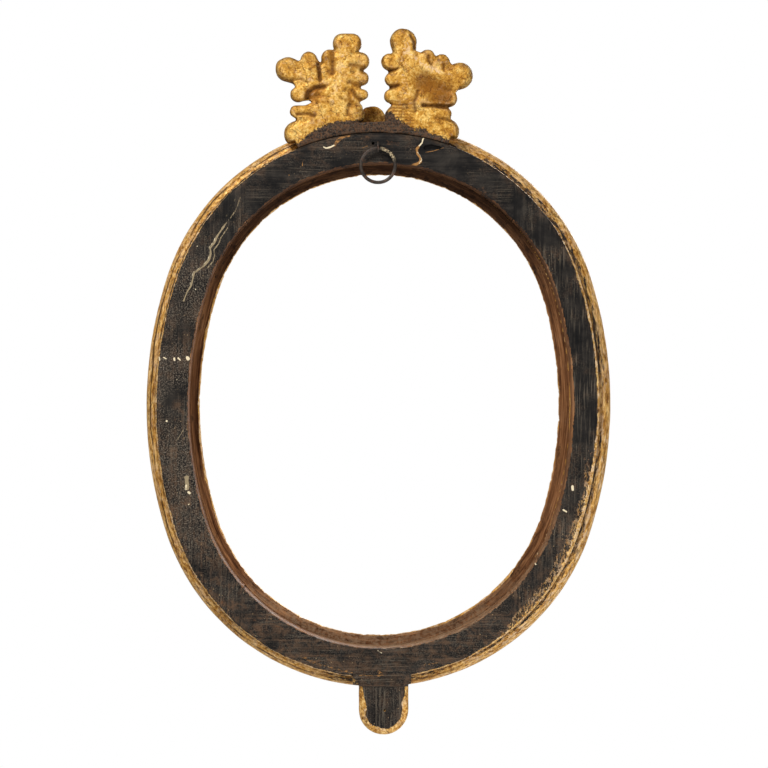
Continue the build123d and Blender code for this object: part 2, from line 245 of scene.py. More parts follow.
class FinePiece:
    """A CAD piece on a fine even grid, to be worn, cut and coloured point by point."""

    def __init__(self, node: str, mesh: bpy.types.Mesh) -> None:
        """Start from a gridded surface.

        Args:
            node: Name of the CAD node.
            mesh: The node's gridded surface.
        """
        self.node = node
        low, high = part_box(node)
        self.low = np.array(low) / MM
        self.high = np.array(high) / MM
        self.object = bpy.data.objects.new(f"{node}_dressed", mesh)
        bpy.context.scene.collection.objects.link(self.object)

    @property
    def mesh(self) -> bpy.types.Mesh:
        """The piece's own mesh."""
        return self.object.data

    def points(self) -> Array:
        """Read the grid's points.

        Returns:
            Places, three numbers to a row.
        """
        flat = np.empty(len(self.mesh.vertices) * 3, np.float32)
        self.mesh.vertices.foreach_get("co", flat)
        return flat.reshape(-1, 3).astype(float) / MM

    def normals(self) -> Array:
        """Read which way the surface faces.

        Returns:
            Outward directions at the grid's points, three numbers to a row.
        """
        flat = np.empty(len(self.mesh.vertices) * 3, np.float32)
        self.mesh.vertex_normals.foreach_get("vector", flat)
        return flat.reshape(-1, 3).astype(float)

    def put(self, points: Array) -> None:
        """Move the grid's points, no further than the CAD piece's own box.

        Args:
            points: New places, three numbers to a row.
        """
        kept = np.clip(points, self.low, self.high) * MM
        self.mesh.vertices.foreach_set("co", kept.astype(np.float32).ravel())
        self.mesh.update()

    def swell(self, rise: Array) -> None:
        """Move the grid's points along their normals.

        Args:
            rise: How far each point goes outwards.
        """
        self.put(self.points() + self.normals() * rise[:, None])

    def seat(self, origin: Array, normal: Array, reach: float, ceiling: float = math.inf) -> Array:
        """Bring the points beside a flat joint exactly onto it, and square up its edge at the back.

        Args:
            origin: A point of the joint's plane.
            normal: The plane's normal, of length 1.
            reach: How far from the plane a point may lie and still belong to it.
            ceiling: Height above which no point belongs to it.

        Returns:
            How far every point then lies from the plane.
        """
        points = self.points()
        gap = (points - origin) @ normal
        near = (np.abs(gap) < reach) & (points[:, 2] < ceiling)
        points -= np.where(near, gap, 0)[:, None] * normal
        points[near & (points[:, 1] > self.high[1] - reach), 1] = self.high[1]
        self.put(points)
        return np.abs((self.points() - origin) @ normal)

    def saw(self, *planes: tuple[Array, Array]) -> None:
        """Cut the piece off flat.

        Args:
            planes: A point and a normal for each cut. What lies on the normal's side is kept.
        """
        for origin, normal in planes:
            cut = bmesh.new()
            cut.from_mesh(self.mesh)
            everything = [*cut.verts, *cut.edges, *cut.faces]
            place = Vector(origin) * MM
            bmesh.ops.bisect_plane(
                cut, geom=everything, plane_co=place, plane_no=Vector(normal), clear_inner=True
            )
            open_edges = [edge for edge in cut.edges if edge.is_boundary]
            bmesh.ops.holes_fill(cut, edges=open_edges)
            cut.to_mesh(self.mesh)
            cut.free()

    def averaged(self, points: Array, rounds: int) -> Array:
        """Draw every point towards its neighbours.

        Args:
            points: Places or other rows of numbers, one for each grid point.
            rounds: How often it is done.

        Returns:
            The smoothed rows.
        """
        flat = np.empty(len(self.mesh.edges) * 2, np.int32)
        self.mesh.edges.foreach_get("vertices", flat)
        first, second = flat.reshape(-1, 2).T
        count = len(points)
        neighbours = np.maximum(np.bincount(flat, minlength=count), 1)
        for _ in range(rounds):
            total = [
                np.bincount(first, points[second, column], count)
                + np.bincount(second, points[first, column], count)
                for column in range(points.shape[1])
            ]
            points = points + 0.5 * (np.stack(total, 1) / neighbours[:, None] - points)
        return points

    def smooth(self, rounds: int) -> None:
        """Round off the grid's points."""
        self.put(self.averaged(self.points(), rounds))

    def relief(self, rounds: int) -> Array:
        """Tell ridges from hollows.

        Args:
            rounds: How far the neighbourhood reaches, in grid steps.

        Returns:
            How far each point stands proud of its surroundings, less than nothing in a hollow.
        """
        points = self.points()
        return np.sum((points - self.averaged(points, rounds)) * self.normals(), axis=1)

    def refine(self, wanted: Callable[[Array], Array], rounds: int) -> None:
        """Halve the grid where finer points are wanted.

        Args:
            wanted: Takes face centres and gives a truth value for each.
            rounds: How often the grid is halved there.
        """
        for _ in range(rounds):
            flat = np.empty(len(self.mesh.polygons) * 3, np.float32)
            self.mesh.polygons.foreach_get("center", flat)
            chosen = np.flatnonzero(wanted(flat.reshape(-1, 3).astype(float) / MM))
            finer = bmesh.new()
            finer.from_mesh(self.mesh)
            finer.faces.ensure_lookup_table()
            edges = {edge for index in chosen for edge in finer.faces[index].edges}
            ordered = sorted(edges, key=lambda edge: edge.index)
            bmesh.ops.subdivide_edges(finer, edges=ordered, cuts=1, use_grid_fill=True)
            finer.to_mesh(self.mesh)
            finer.free()

    def mark(self, **zones: Array | float) -> None:
        """Keep numbers at the grid's points for the finish to read.

        Args:
            zones: A number for each point, or one for them all, under the name that the finish asks for.
        """
        for name, values in zones.items():
            layer = self.mesh.attributes.new(name, "FLOAT", "POINT")
            layer.data.foreach_set("value", np.full(len(self.mesh.vertices), values, np.float32))

    def dress(self, material: bpy.types.Material, slot: str, body: str = "frame") -> None:
        """Give the piece its finish and let it stand for its CAD node.

        Args:
            material: The finish.
            slot: The record's material slot; not used.
            body: The body that carries the piece.
        """
        self.mesh.materials.append(material)
        self.mesh.shade_smooth()
        self.mesh.set_sharp_from_angle(angle=math.radians(SHARP_EDGE))
        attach(self.object, body)
        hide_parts(self.node)
        LOG.info("%s: %d points", self.object.name, len(self.mesh.vertices))


@dataclass(frozen=True)
class Look:
    """What one layer of a finish gives the shader."""

    colour: Socket
    roughness: Shade
    metallic: Shade
    height: Socket


class Graph:
    """Short names for the nodes of one finish."""

    def __init__(self, name: str) -> None:
        """Start an empty material.

        Args:
            name: The material's name.
        """
        self.material = bpy.data.materials.new(name)
        self.material.use_nodes = True
        self.tree = self.material.node_tree
        self.tree.nodes.clear()
        self.place: Socket = self.node("ShaderNodeTexCoord").outputs["Object"]

    def node(self, kind: str, inputs: dict | None = None, **settings: object) -> bpy.types.Node:
        """Add a node.

        Args:
            kind: Blender's name for the node.
            inputs: Values or sockets for its inputs, by name or number.
            settings: Values of its own properties.

        Returns:
            The node.
        """
        made = self.tree.nodes.new(kind)
        for name, value in settings.items():
            setattr(made, name, value)
        for name, value in (inputs or {}).items():
            if isinstance(value, Socket):
                self.tree.links.new(value, made.inputs[name])
            else:
                made.inputs[name].default_value = value
        return made

    def kept(self, name: str) -> Socket:
        """Read a number that was kept at the grid's points."""
        return self.node("ShaderNodeAttribute", attribute_name=name).outputs["Fac"]

    def along(self, stretch: Sequence[float]) -> Socket:
        """Places scaled for each axis, so that features are drawn out along one of them."""
        inputs = {"Vector": self.place, "Scale": tuple(stretch)}
        return self.node("ShaderNodeMapping", inputs).outputs["Vector"]

    def noise(
        self,
        size: float,
        detail: float = 4.0,
        roughness: float = 0.55,
        stretch: Sequence[float] = (1, 1, 1),
        distortion: float = 0.0,
    ) -> Socket:
        """Add cloudy values.

        Args:
            size: Feature size in millimetres.
            detail: How many finer layers are added.
            roughness: How strong the finer layers are.
            stretch: Scale of each axis, small along the drawn-out one.
            distortion: How far the clouds are pulled about.

        Returns:
            Values from 0 to 1.
        """
        inputs = {
            "Vector": self.along(stretch),
            "Scale": 1 / (size * MM),
            "Detail": detail,
            "Roughness": roughness,
            "Distortion": distortion,
        }
        return self.node("ShaderNodeTexNoise", inputs).outputs["Fac"]

    def cracks(self, size: float, wander: float, stretch: Sequence[float] = (1, 1, 1)) -> Socket:
        """Add a net of fine lines.

        Args:
            size: Mesh size of the net in millimetres.
            wander: How far the lines leave a straight course, in millimetres.
            stretch: Scale of each axis.

        Returns:
            Distance from the nearest line, in mesh sizes.
        """
        bend = self.node(
            "ShaderNodeTexNoise",
            {"Vector": self.place, "Scale": 1 / (0.7 * size * MM), "Detail": 3.0},
        ).outputs["Color"]
        centred = self.node("ShaderNodeVectorMath", {0: bend, 1: (0.5, 0.5, 0.5)}, operation="SUBTRACT")
        inputs = {0: centred.outputs[0], 1: (wander * MM,) * 3, 2: self.along(stretch)}
        bent = self.node("ShaderNodeVectorMath", inputs, operation="MULTIPLY_ADD").outputs[0]
        inputs = {"Vector": bent, "Scale": 1 / (size * MM)}
        return self.node("ShaderNodeTexVoronoi", inputs, feature="DISTANCE_TO_EDGE").outputs["Distance"]

    def dots(self, spacing: float, radius: float, share: float) -> Socket:
        """Scatter round specks.

        Args:
            spacing: Distance between the places for a speck, in millimetres.
            radius: Radius of the largest specks, in millimetres.
            share: Share of the places that hold one.

        Returns:
            1 in a speck and 0 beside it.
        """
        inputs = {"Vector": self.place, "Scale": 1 / (spacing * MM)}
        cells = self.node("ShaderNodeTexVoronoi", inputs)
        draw = self.node("ShaderNodeSeparateColor", {"Color": cells.outputs["Color"]}).outputs["Red"]
        size = self.span(draw, share, 0.0, 0.0, radius / spacing)
        return self.calc("LESS_THAN", cells.outputs["Distance"], size)

    def calc(self, operation: str, first: Shade, second: Shade = 0.0) -> Socket:
        """Add a calculation with two values.

        Args:
            operation: Blender's name for it.
            first: A socket or a number.
            second: A socket or a number.

        Returns:
            The result.
        """
        return self.node("ShaderNodeMath", {0: first, 1: second}, operation=operation).outputs[0]

    def times(self, first: Shade, second: Shade) -> Socket:
        """Multiply two values."""
        return self.calc("MULTIPLY", first, second)

    def plus(self, first: Shade, second: Shade) -> Socket:
        """Add two values."""
        return self.calc("ADD", first, second)

    def span(self, value: Socket, low: float, high: float, start: float = 0.0, end: float = 1.0) -> Socket:
        """Rise smoothly between two limits.

        Args:
            value: What is compared with the limits.
            low: Where the rise starts.
            high: Where it ends.
            start: Result up to low.
            end: Result from high on.

        Returns:
            The result.
        """
        inputs = {"Value": value, "From Min": low, "From Max": high, "To Min": start, "To Max": end}
        return self.node("ShaderNodeMapRange", inputs, interpolation_type="SMOOTHSTEP").outputs["Result"]

    def tint(self, share: Shade, under: Socket | Colour, over: Socket | Colour) -> Socket:
        """Lay one colour over another.

        Args:
            share: How much of the upper colour shows.
            under: The lower colour.
            over: The upper colour.

        Returns:
            The mixed colour.
        """
        return self.node("ShaderNodeMix", {0: share, 6: under, 7: over}, data_type="RGBA").outputs[2]

    def between(self, share: Shade, under: Shade, over: Shade) -> Socket:
        """Mix two numbers."""
        return self.node("ShaderNodeMix", {0: share, 2: under, 3: over}, data_type="FLOAT").outputs[0]

    def ramp(self, value: Socket, *stops: tuple[float, Colour]) -> Socket:
        """Turn values into colours.

        Args:
            value: Values from 0 to 1.
            stops: Values with their colours, in rising order.

        Returns:
            The colour.
        """
        made = self.node("ShaderNodeValToRGB", {"Fac": value})
        elements = made.color_ramp.elements
        while len(elements) < len(stops):
            elements.new(1.0)
        for element, (position, colour) in zip(elements, stops):
            element.position = position
            element.color = colour
        return made.outputs["Color"]

    def over(self, share: Socket, under: Look, upper: Look) -> Look:
        """Lay one layer of a finish over another.

        Args:
            share: Where the upper layer covers.
            under: The lower layer.
            upper: The upper layer.

        Returns:
            Both as one layer.
        """
        return Look(
            self.tint(share, under.colour, upper.colour),
            self.between(share, under.roughness, upper.roughness),
            self.between(share, under.metallic, upper.metallic),
            self.between(share, under.height, upper.height),
        )

    def finish(self, look: Look, relief: float, specular: float) -> bpy.types.Material:
        """Wire a layer to the shader.

        Args:
            look: The finished layer.
            relief: Depth of its fine relief in millimetres.
            specular: The shader's specular level.

        Returns:
            The material.
        """
        bump = self.node("ShaderNodeBump", {"Strength": 1.0, "Distance": relief * MM, "Height": look.height})
        inputs = {
            "Base Color": look.colour,
            "Roughness": look.roughness,
            "Metallic": look.metallic,
            "Normal": bump.outputs["Normal"],
            "Specular IOR Level": specular,
        }
        shader = self.node("ShaderNodeBsdfPrincipled", inputs)
        self.node("ShaderNodeOutputMaterial", {"Surface": shader.outputs["BSDF"]})
        return self.material


class Run(Enum):
    """The way that the wood's grain runs, as the scale of each axis."""

    UPRIGHT = (1.0, 1.0, 0.03)
    LEVEL = (0.03, 1.0, 1.0)
    ROUND = (0.06, 1.0, 1.0)


@dataclass(frozen=True)
class BlackPaint:
    """Thin old black paint: crazed, scored along the grain, dusty and speckled."""

    run: Run
    dark: Colour = srgb(15, 15, 16)
    middle: Colour = srgb(29, 27, 26)
    light: Colour = srgb(52, 48, 44)
    crazed: Colour = srgb(122, 111, 97)
    line: Colour = srgb(128, 117, 101)
    dust: Colour = srgb(98, 75, 57)
    fleck: Colour = srgb(150, 126, 94)

    def layer(self, graph: Graph) -> Look:
        """Build the paint's layer.

        Args:
            graph: The material that takes it.

        Returns:
            The layer.
        """
        clouds = graph.noise(20, 6, 0.65, distortion=0.4)
        brushed = graph.noise(5, 5, 0.65, self.run.value)
        tone = graph.between(0.45, clouds, brushed)
        colour = graph.ramp(tone, (0.38, self.dark), (0.5, self.middle), (0.63, self.light))
        speck = graph.noise(1.1, 3, 0.75)
        craze = graph.times(graph.span(speck, 0.51, 0.59), graph.kept("craze"))
        colour = graph.tint(graph.times(craze, 0.75), colour, self.crazed)
        fine = graph.noise(0.8, 3, 0.6, self.run.value)
        score = graph.times(graph.span(fine, 0.55, 0.64), graph.kept("score"))
        colour = graph.tint(graph.times(score, 0.7), colour, self.line)
        smears = graph.noise(8, 7, 0.75, distortion=0.8)
        film = graph.between(0.4, smears, graph.noise(2.5, 5, 0.7, self.run.value))
        dusted = graph.times(graph.span(film, 0.45, 0.6), graph.kept("dust"))
        colour = graph.tint(graph.times(dusted, 0.85), colour, self.dust)
        flecks = graph.times(graph.dots(2.4, 0.45, 0.3), graph.kept("fleck"))
        colour = graph.tint(flecks, colour, self.fleck)
        rough = graph.span(clouds, 0.3, 0.7, 0.5, 0.7)
        height = graph.plus(graph.times(fine, 0.4), graph.times(speck, 0.4))
        return Look(colour, rough, 0.0, graph.plus(height, 0.7))


@dataclass(frozen=True)
class BareWood:
    """Unpainted old wood, stained dark in places, darkened with painted shade where the piece asks, and
    washed pale in others.
    """

    run: Run
    deep: Colour = srgb(62, 35, 18)
    middle: Colour = srgb(114, 74, 45)
    pale: Colour = srgb(160, 113, 74)
    # Dark colour of real stains, also laid on as painted shade at the top of the rabbet.
    stain: Colour = srgb(34, 20, 12)
    wash: Colour = srgb(150, 124, 98)

    def layer(self, graph: Graph) -> Look:
        """Build the wood's layer.

        Args:
            graph: The material that takes it.

        Returns:
            The layer.
        """
        rings = graph.noise(4, 5, 0.65, self.run.value, 0.6)
        fibres = graph.noise(0.9, 3, 0.6, self.run.value)
        mixed = graph.between(0.4, rings, fibres)
        colour = graph.ramp(mixed, (0.39, self.deep), (0.5, self.middle), (0.61, self.pale))
        blots = graph.noise(5, 6, 0.75, tuple(min(1.0, 8 * axis) for axis in self.run.value))
        scuffs = graph.noise(3.5, 5, 0.75, distortion=0.6)
        washed = graph.times(graph.span(scuffs, 0.36, 0.6), graph.kept("wash"))
        colour = graph.tint(washed, colour, self.wash)
        # Random blots are real stains; the kept value adds painted shade at the top of the rabbet's wall and
        # ledge.
        stain = graph.plus(graph.span(blots, 0.53, 0.66, 0.0, 0.65), graph.kept("stain"))
        colour = graph.tint(graph.calc("MINIMUM", stain, 0.92), colour, self.stain)
        height = graph.plus(graph.times(fibres, 0.7), graph.times(rings, 0.5))
        return Look(colour, graph.span(rings, 0.3, 0.7, 0.5, 0.72), 0.0, height)


@dataclass(frozen=True)
class Gilding:
    """Leaf gold on red clay and chalk, rubbed, cracked, dirty in its hollows and darkened with painted shade
    where the piece asks.
    """

    stretch: Sequence[float] = (1, 1, 1)
    amber: Colour = srgb(138, 86, 32)
    gold: Colour = srgb(203, 152, 76)
    bright: Colour = srgb(244, 207, 138)
    clay: Colour = srgb(122, 66, 36)
    chalk: Colour = srgb(228, 198, 160)
    # Colour of soiling and cracks, also used for painted shade.
    grime_and_shade: Colour = srgb(64, 39, 20)
    metal: float = 0.25
    patch: float = 8.0
    grain: float = 0.5
    speck: float = 0.55

    def layer(self, graph: Graph) -> Look:
        """Build the gilding's layer.

        Args:
            graph: The material that takes it.

        Returns:
            The layer.
        """
        calm = graph.kept("calm")
        restless = graph.span(calm, 0.0, 1.0, 1.0, 0.15)
        clouds = graph.noise(self.patch, 7, 0.7, self.stretch, 0.5)
        grains = graph.noise(1.7, 3, 0.7, tuple(max(axis, 0.45) for axis in self.stretch))
        tone = graph.between(self.grain, clouds, grains)
        tone = graph.between(graph.times(calm, 0.55), tone, 0.5)
        colour = graph.ramp(tone, (0.4, self.amber), (0.5, self.gold), (0.6, self.bright))
        colour = graph.tint(graph.kept("aged"), colour, self.amber)
        clay_clouds = graph.noise(6, 6, 0.72, self.stretch, 0.3)
        clay = graph.times(graph.span(clay_clouds, 0.56, 0.68, 0.0, 0.6), restless)
        colour = graph.tint(clay, colour, self.clay)
        chalk_clouds = graph.noise(5, 6, 0.75, self.stretch, 0.8)
        chalk = graph.times(graph.span(chalk_clouds, 0.48, 0.58), graph.kept("chalk"))
        colour = graph.tint(graph.times(chalk, 0.8), colour, self.chalk)
        net = graph.cracks(6.0, 5.0, tuple(axis if axis == 1 else 0.3 * axis for axis in self.stretch))
        breaks = graph.times(graph.span(net, 0.09, 0.0), graph.span(clay_clouds, 0.44, 0.6))
        breaks = graph.times(breaks, restless)
        colour = graph.tint(graph.times(breaks, 0.7), colour, self.grime_and_shade)
        spots = graph.span(graph.noise(1.3, 4, 0.75, self.stretch), 0.55, 0.64, 0.0, self.speck)
        colour = graph.tint(graph.times(spots, restless), colour, self.grime_and_shade)
        # The kept value is soiling and, on the moulding and the carving, painted shade.
        dirt = graph.times(graph.kept("dirt"), graph.span(grains, 0.3, 0.55, 1.0, 0.6))
        colour = graph.tint(dirt, colour, self.grime_and_shade)
        lost = graph.calc("MAXIMUM", graph.calc("MAXIMUM", clay, chalk), dirt)
        metal = graph.between(lost, self.metal, 0.0)
        rough = graph.between(lost, graph.span(clouds, 0.3, 0.7, 0.55, 0.4), 0.7)
        height = graph.plus(graph.times(clouds, 0.9), graph.times(grains, 0.8))
        height = graph.times(height, graph.span(calm, 0.0, 1.0, 1.0, 0.35))
        height = graph.calc("SUBTRACT", height, graph.times(breaks, 0.5))
        return Look(colour, rough, metal, height)


@dataclass(frozen=True)
class WroughtIron:
    """Dark hammered iron with rust and flecks of old paint."""

    dark: Colour = srgb(36, 31, 28)
    worn: Colour = srgb(70, 60, 52)
    rust: Colour = srgb(84, 52, 32)
    paint: Colour = srgb(196, 178, 140)

    def material(self, name: str) -> bpy.types.Material:
        """Build the finish.

        Args:
            name: The material's name.

        Returns:
            The material.
        """
        graph = Graph(name)
        clouds = graph.noise(2.6, 5, 0.65)
        colour = graph.ramp(clouds, (0.35, self.dark), (0.65, self.worn))
        rust = graph.span(graph.noise(3.4, 6, 0.7, distortion=0.6), 0.52, 0.66, 0.0, 0.8)
        colour = graph.tint(rust, colour, self.rust)
        flecks = graph.span(graph.noise(1.2, 4, 0.7), 0.45, 0.58)
        fleck = graph.times(flecks, graph.kept("fleck"))
        colour = graph.tint(fleck, colour, self.paint)
        bare = graph.calc("SUBTRACT", 1.0, graph.calc("MAXIMUM", rust, fleck))
        rough = graph.span(clouds, 0.3, 0.7, 0.62, 0.42)
        look = Look(colour, rough, graph.times(bare, 0.4), clouds)
        return graph.finish(look, 0.25, 0.4)


class Tint(Enum):
    """What a mark on the wood shows, by the name that the finish asks for."""

    CREAM = "cream"
    SAND = "sand"
    OCHRE = "ochre"
    RUST = "rust"
    PIT = "pit"


TINT_COLOURS = {
    Tint.RUST: srgb(96, 68, 48),
    Tint.OCHRE: srgb(156, 112, 64),
    Tint.SAND: srgb(148, 132, 104),
    Tint.CREAM: srgb(226, 210, 176),
    # Near-black painted shade inside holes and pits; the open joints' lines are drawn in the same
    # near-black.
    Tint.PIT: srgb(12, 10, 9),
}


@dataclass(frozen=True)
class WoodFinish:
    """Bare wood under gilding under black paint, each where the piece says that it is left."""

    name: str
    run: Run
    gilding: Gilding = Gilding()
    tear: Sequence[float] = (1, 1, 1)
    relief: float = 0.3
    round_the_oval: bool = False
    seam: float = 0.0
    seam_wander: float = 7.0
    gilt_bite: float = 0.9
    paint_bite: float = 1.7
    specular: float = 0.08

    def material(self) -> bpy.types.Material:
        """Build the finish from its layers.

        Returns:
            The material.
        """
        graph = Graph(self.name)
        if self.round_the_oval:
            kept = {axis: graph.kept(name) for axis, name in (("X", "run"), ("Y", "offset"), ("Z", "depth"))}
            graph.place = graph.node("ShaderNodeCombineXYZ", kept).outputs[0]
        ragged = graph.calc("SUBTRACT", graph.noise(1.9, 5, 0.75, self.tear), 0.5)
        look = BareWood(self.run).layer(graph)
        layers = ("gilt", self.gilding, self.gilt_bite), ("paint", BlackPaint(self.run), self.paint_bite)
        for name, finish, bite in layers:
            left = graph.plus(graph.kept(name), graph.times(ragged, bite))
            look = graph.over(graph.span(left, 0.45, 0.55), look, finish.layer(graph))
        colour = look.colour
        if self.seam:
            colour = graph.tint(self.open_seam(graph), colour, self.gilding.grime_and_shade)
        for tint, stain in TINT_COLOURS.items():
            kept_tint = graph.kept(tint.value)
            share = graph.plus(kept_tint, graph.times(ragged, 1.1))
            shown = graph.times(graph.span(share, 0.38, 0.6), graph.span(kept_tint, 0.02, 0.2))
            colour = graph.tint(shown, colour, stain)
        return graph.finish(replace(look, colour=colour), self.relief, self.specular)

    def open_seam(self, graph: Graph) -> Socket:
        """Draw the broken dark line where the gilding has parted along the moulding's flank.

        Args:
            graph: The material, with its places told round the oval.

        Returns:
            How far the line shows.
        """
        course = graph.calc("SUBTRACT", graph.noise(14, 4, 0.6, (0.3, 1, 1)), 0.5)
        wander = graph.times(course, self.seam_wander)
        offset = graph.plus(graph.times(graph.kept("offset"), 1 / MM), wander)
        gap = graph.calc("ABSOLUTE", graph.calc("SUBTRACT", offset, self.seam))
        broken = graph.span(graph.noise(9, 4, 0.7, (0.3, 1, 1)), 0.42, 0.52)
        line = graph.times(graph.span(gap, 0.9, 0.3), broken)
        return graph.times(line, graph.kept("seam"))


@dataclass(frozen=True)
class Stroke:
    """A scratch, drip, spot or hole on the back, along a line of (x, z) places."""

    tint: Tint
    width: float
    rise: float
    route: tuple[Place, ...]
    strength: float = 1.0

    def distance(self, points: Array) -> Array:
        """Measure how far points lie from the stroke, seen square on to the back.

        Args:
            points: Places, three numbers to a row.

        Returns:
            The distances.
        """
        flat = points[:, (0, 2)]
        route = np.array(self.route, float)
        nearest = np.full(len(flat), np.inf)
        for start, end in zip(route, np.vstack([route[1:], route[-1:]])):
            step = end - start
            share = unit((flat - start) @ step / max(step @ step, 1e-9))
            gap = flat - start - share[:, None] * step
            nearest = np.minimum(nearest, np.hypot(gap[:, 0], gap[:, 1]))
        return nearest

    def cover(self, points: Array) -> Array:
        """Give how far the stroke covers each point.

        Args:
            points: Places, three numbers to a row.

        Returns:
            Shares from 0 to 1.
        """
        half = self.width / 2
        uneven = 1 + 0.45 * Grain(61).layered(points, 4.0)
        return ease(self.distance(points) / uneven, half, 0.45 * half) * self.strength


def strokes_on(piece: FinePiece, strokes: Sequence[Stroke]) -> list[Stroke]:
    """Pick the strokes that touch a piece's box.

    Args:
        piece: The piece.
        strokes: Strokes on the back.

    Returns:
        Those that have a place on the piece.
    """
    low, high = piece.low[[0, 2]], piece.high[[0, 2]]
    routes = [(stroke, np.array(stroke.route, float)) for stroke in strokes]
    return [
        stroke
        for stroke, route in routes
        if np.any(np.all((route > low - stroke.width) & (route < high + stroke.width), axis=1))
    ]


def apply_strokes(piece: FinePiece, strokes: Sequence[Stroke], facing: Array) -> dict[str, Array]:
    """Cut or raise strokes on a piece.

    Args:
        piece: The piece.
        strokes: Strokes on its back.
        facing: How far each point belongs to the face that shows them.

    Returns:
        How far each tint covers each point.
    """
    points = piece.points()
    shown = {tint.value: np.zeros(len(points)) for tint in Tint}
    rise = np.zeros(len(points))
    for stroke in strokes:
        cover = stroke.cover(points) * facing
        rise += stroke.rise * cover
        shown[stroke.tint.value] = np.maximum(shown[stroke.tint.value], cover)
    points[:, 1] += rise
    piece.put(points)
    return shown


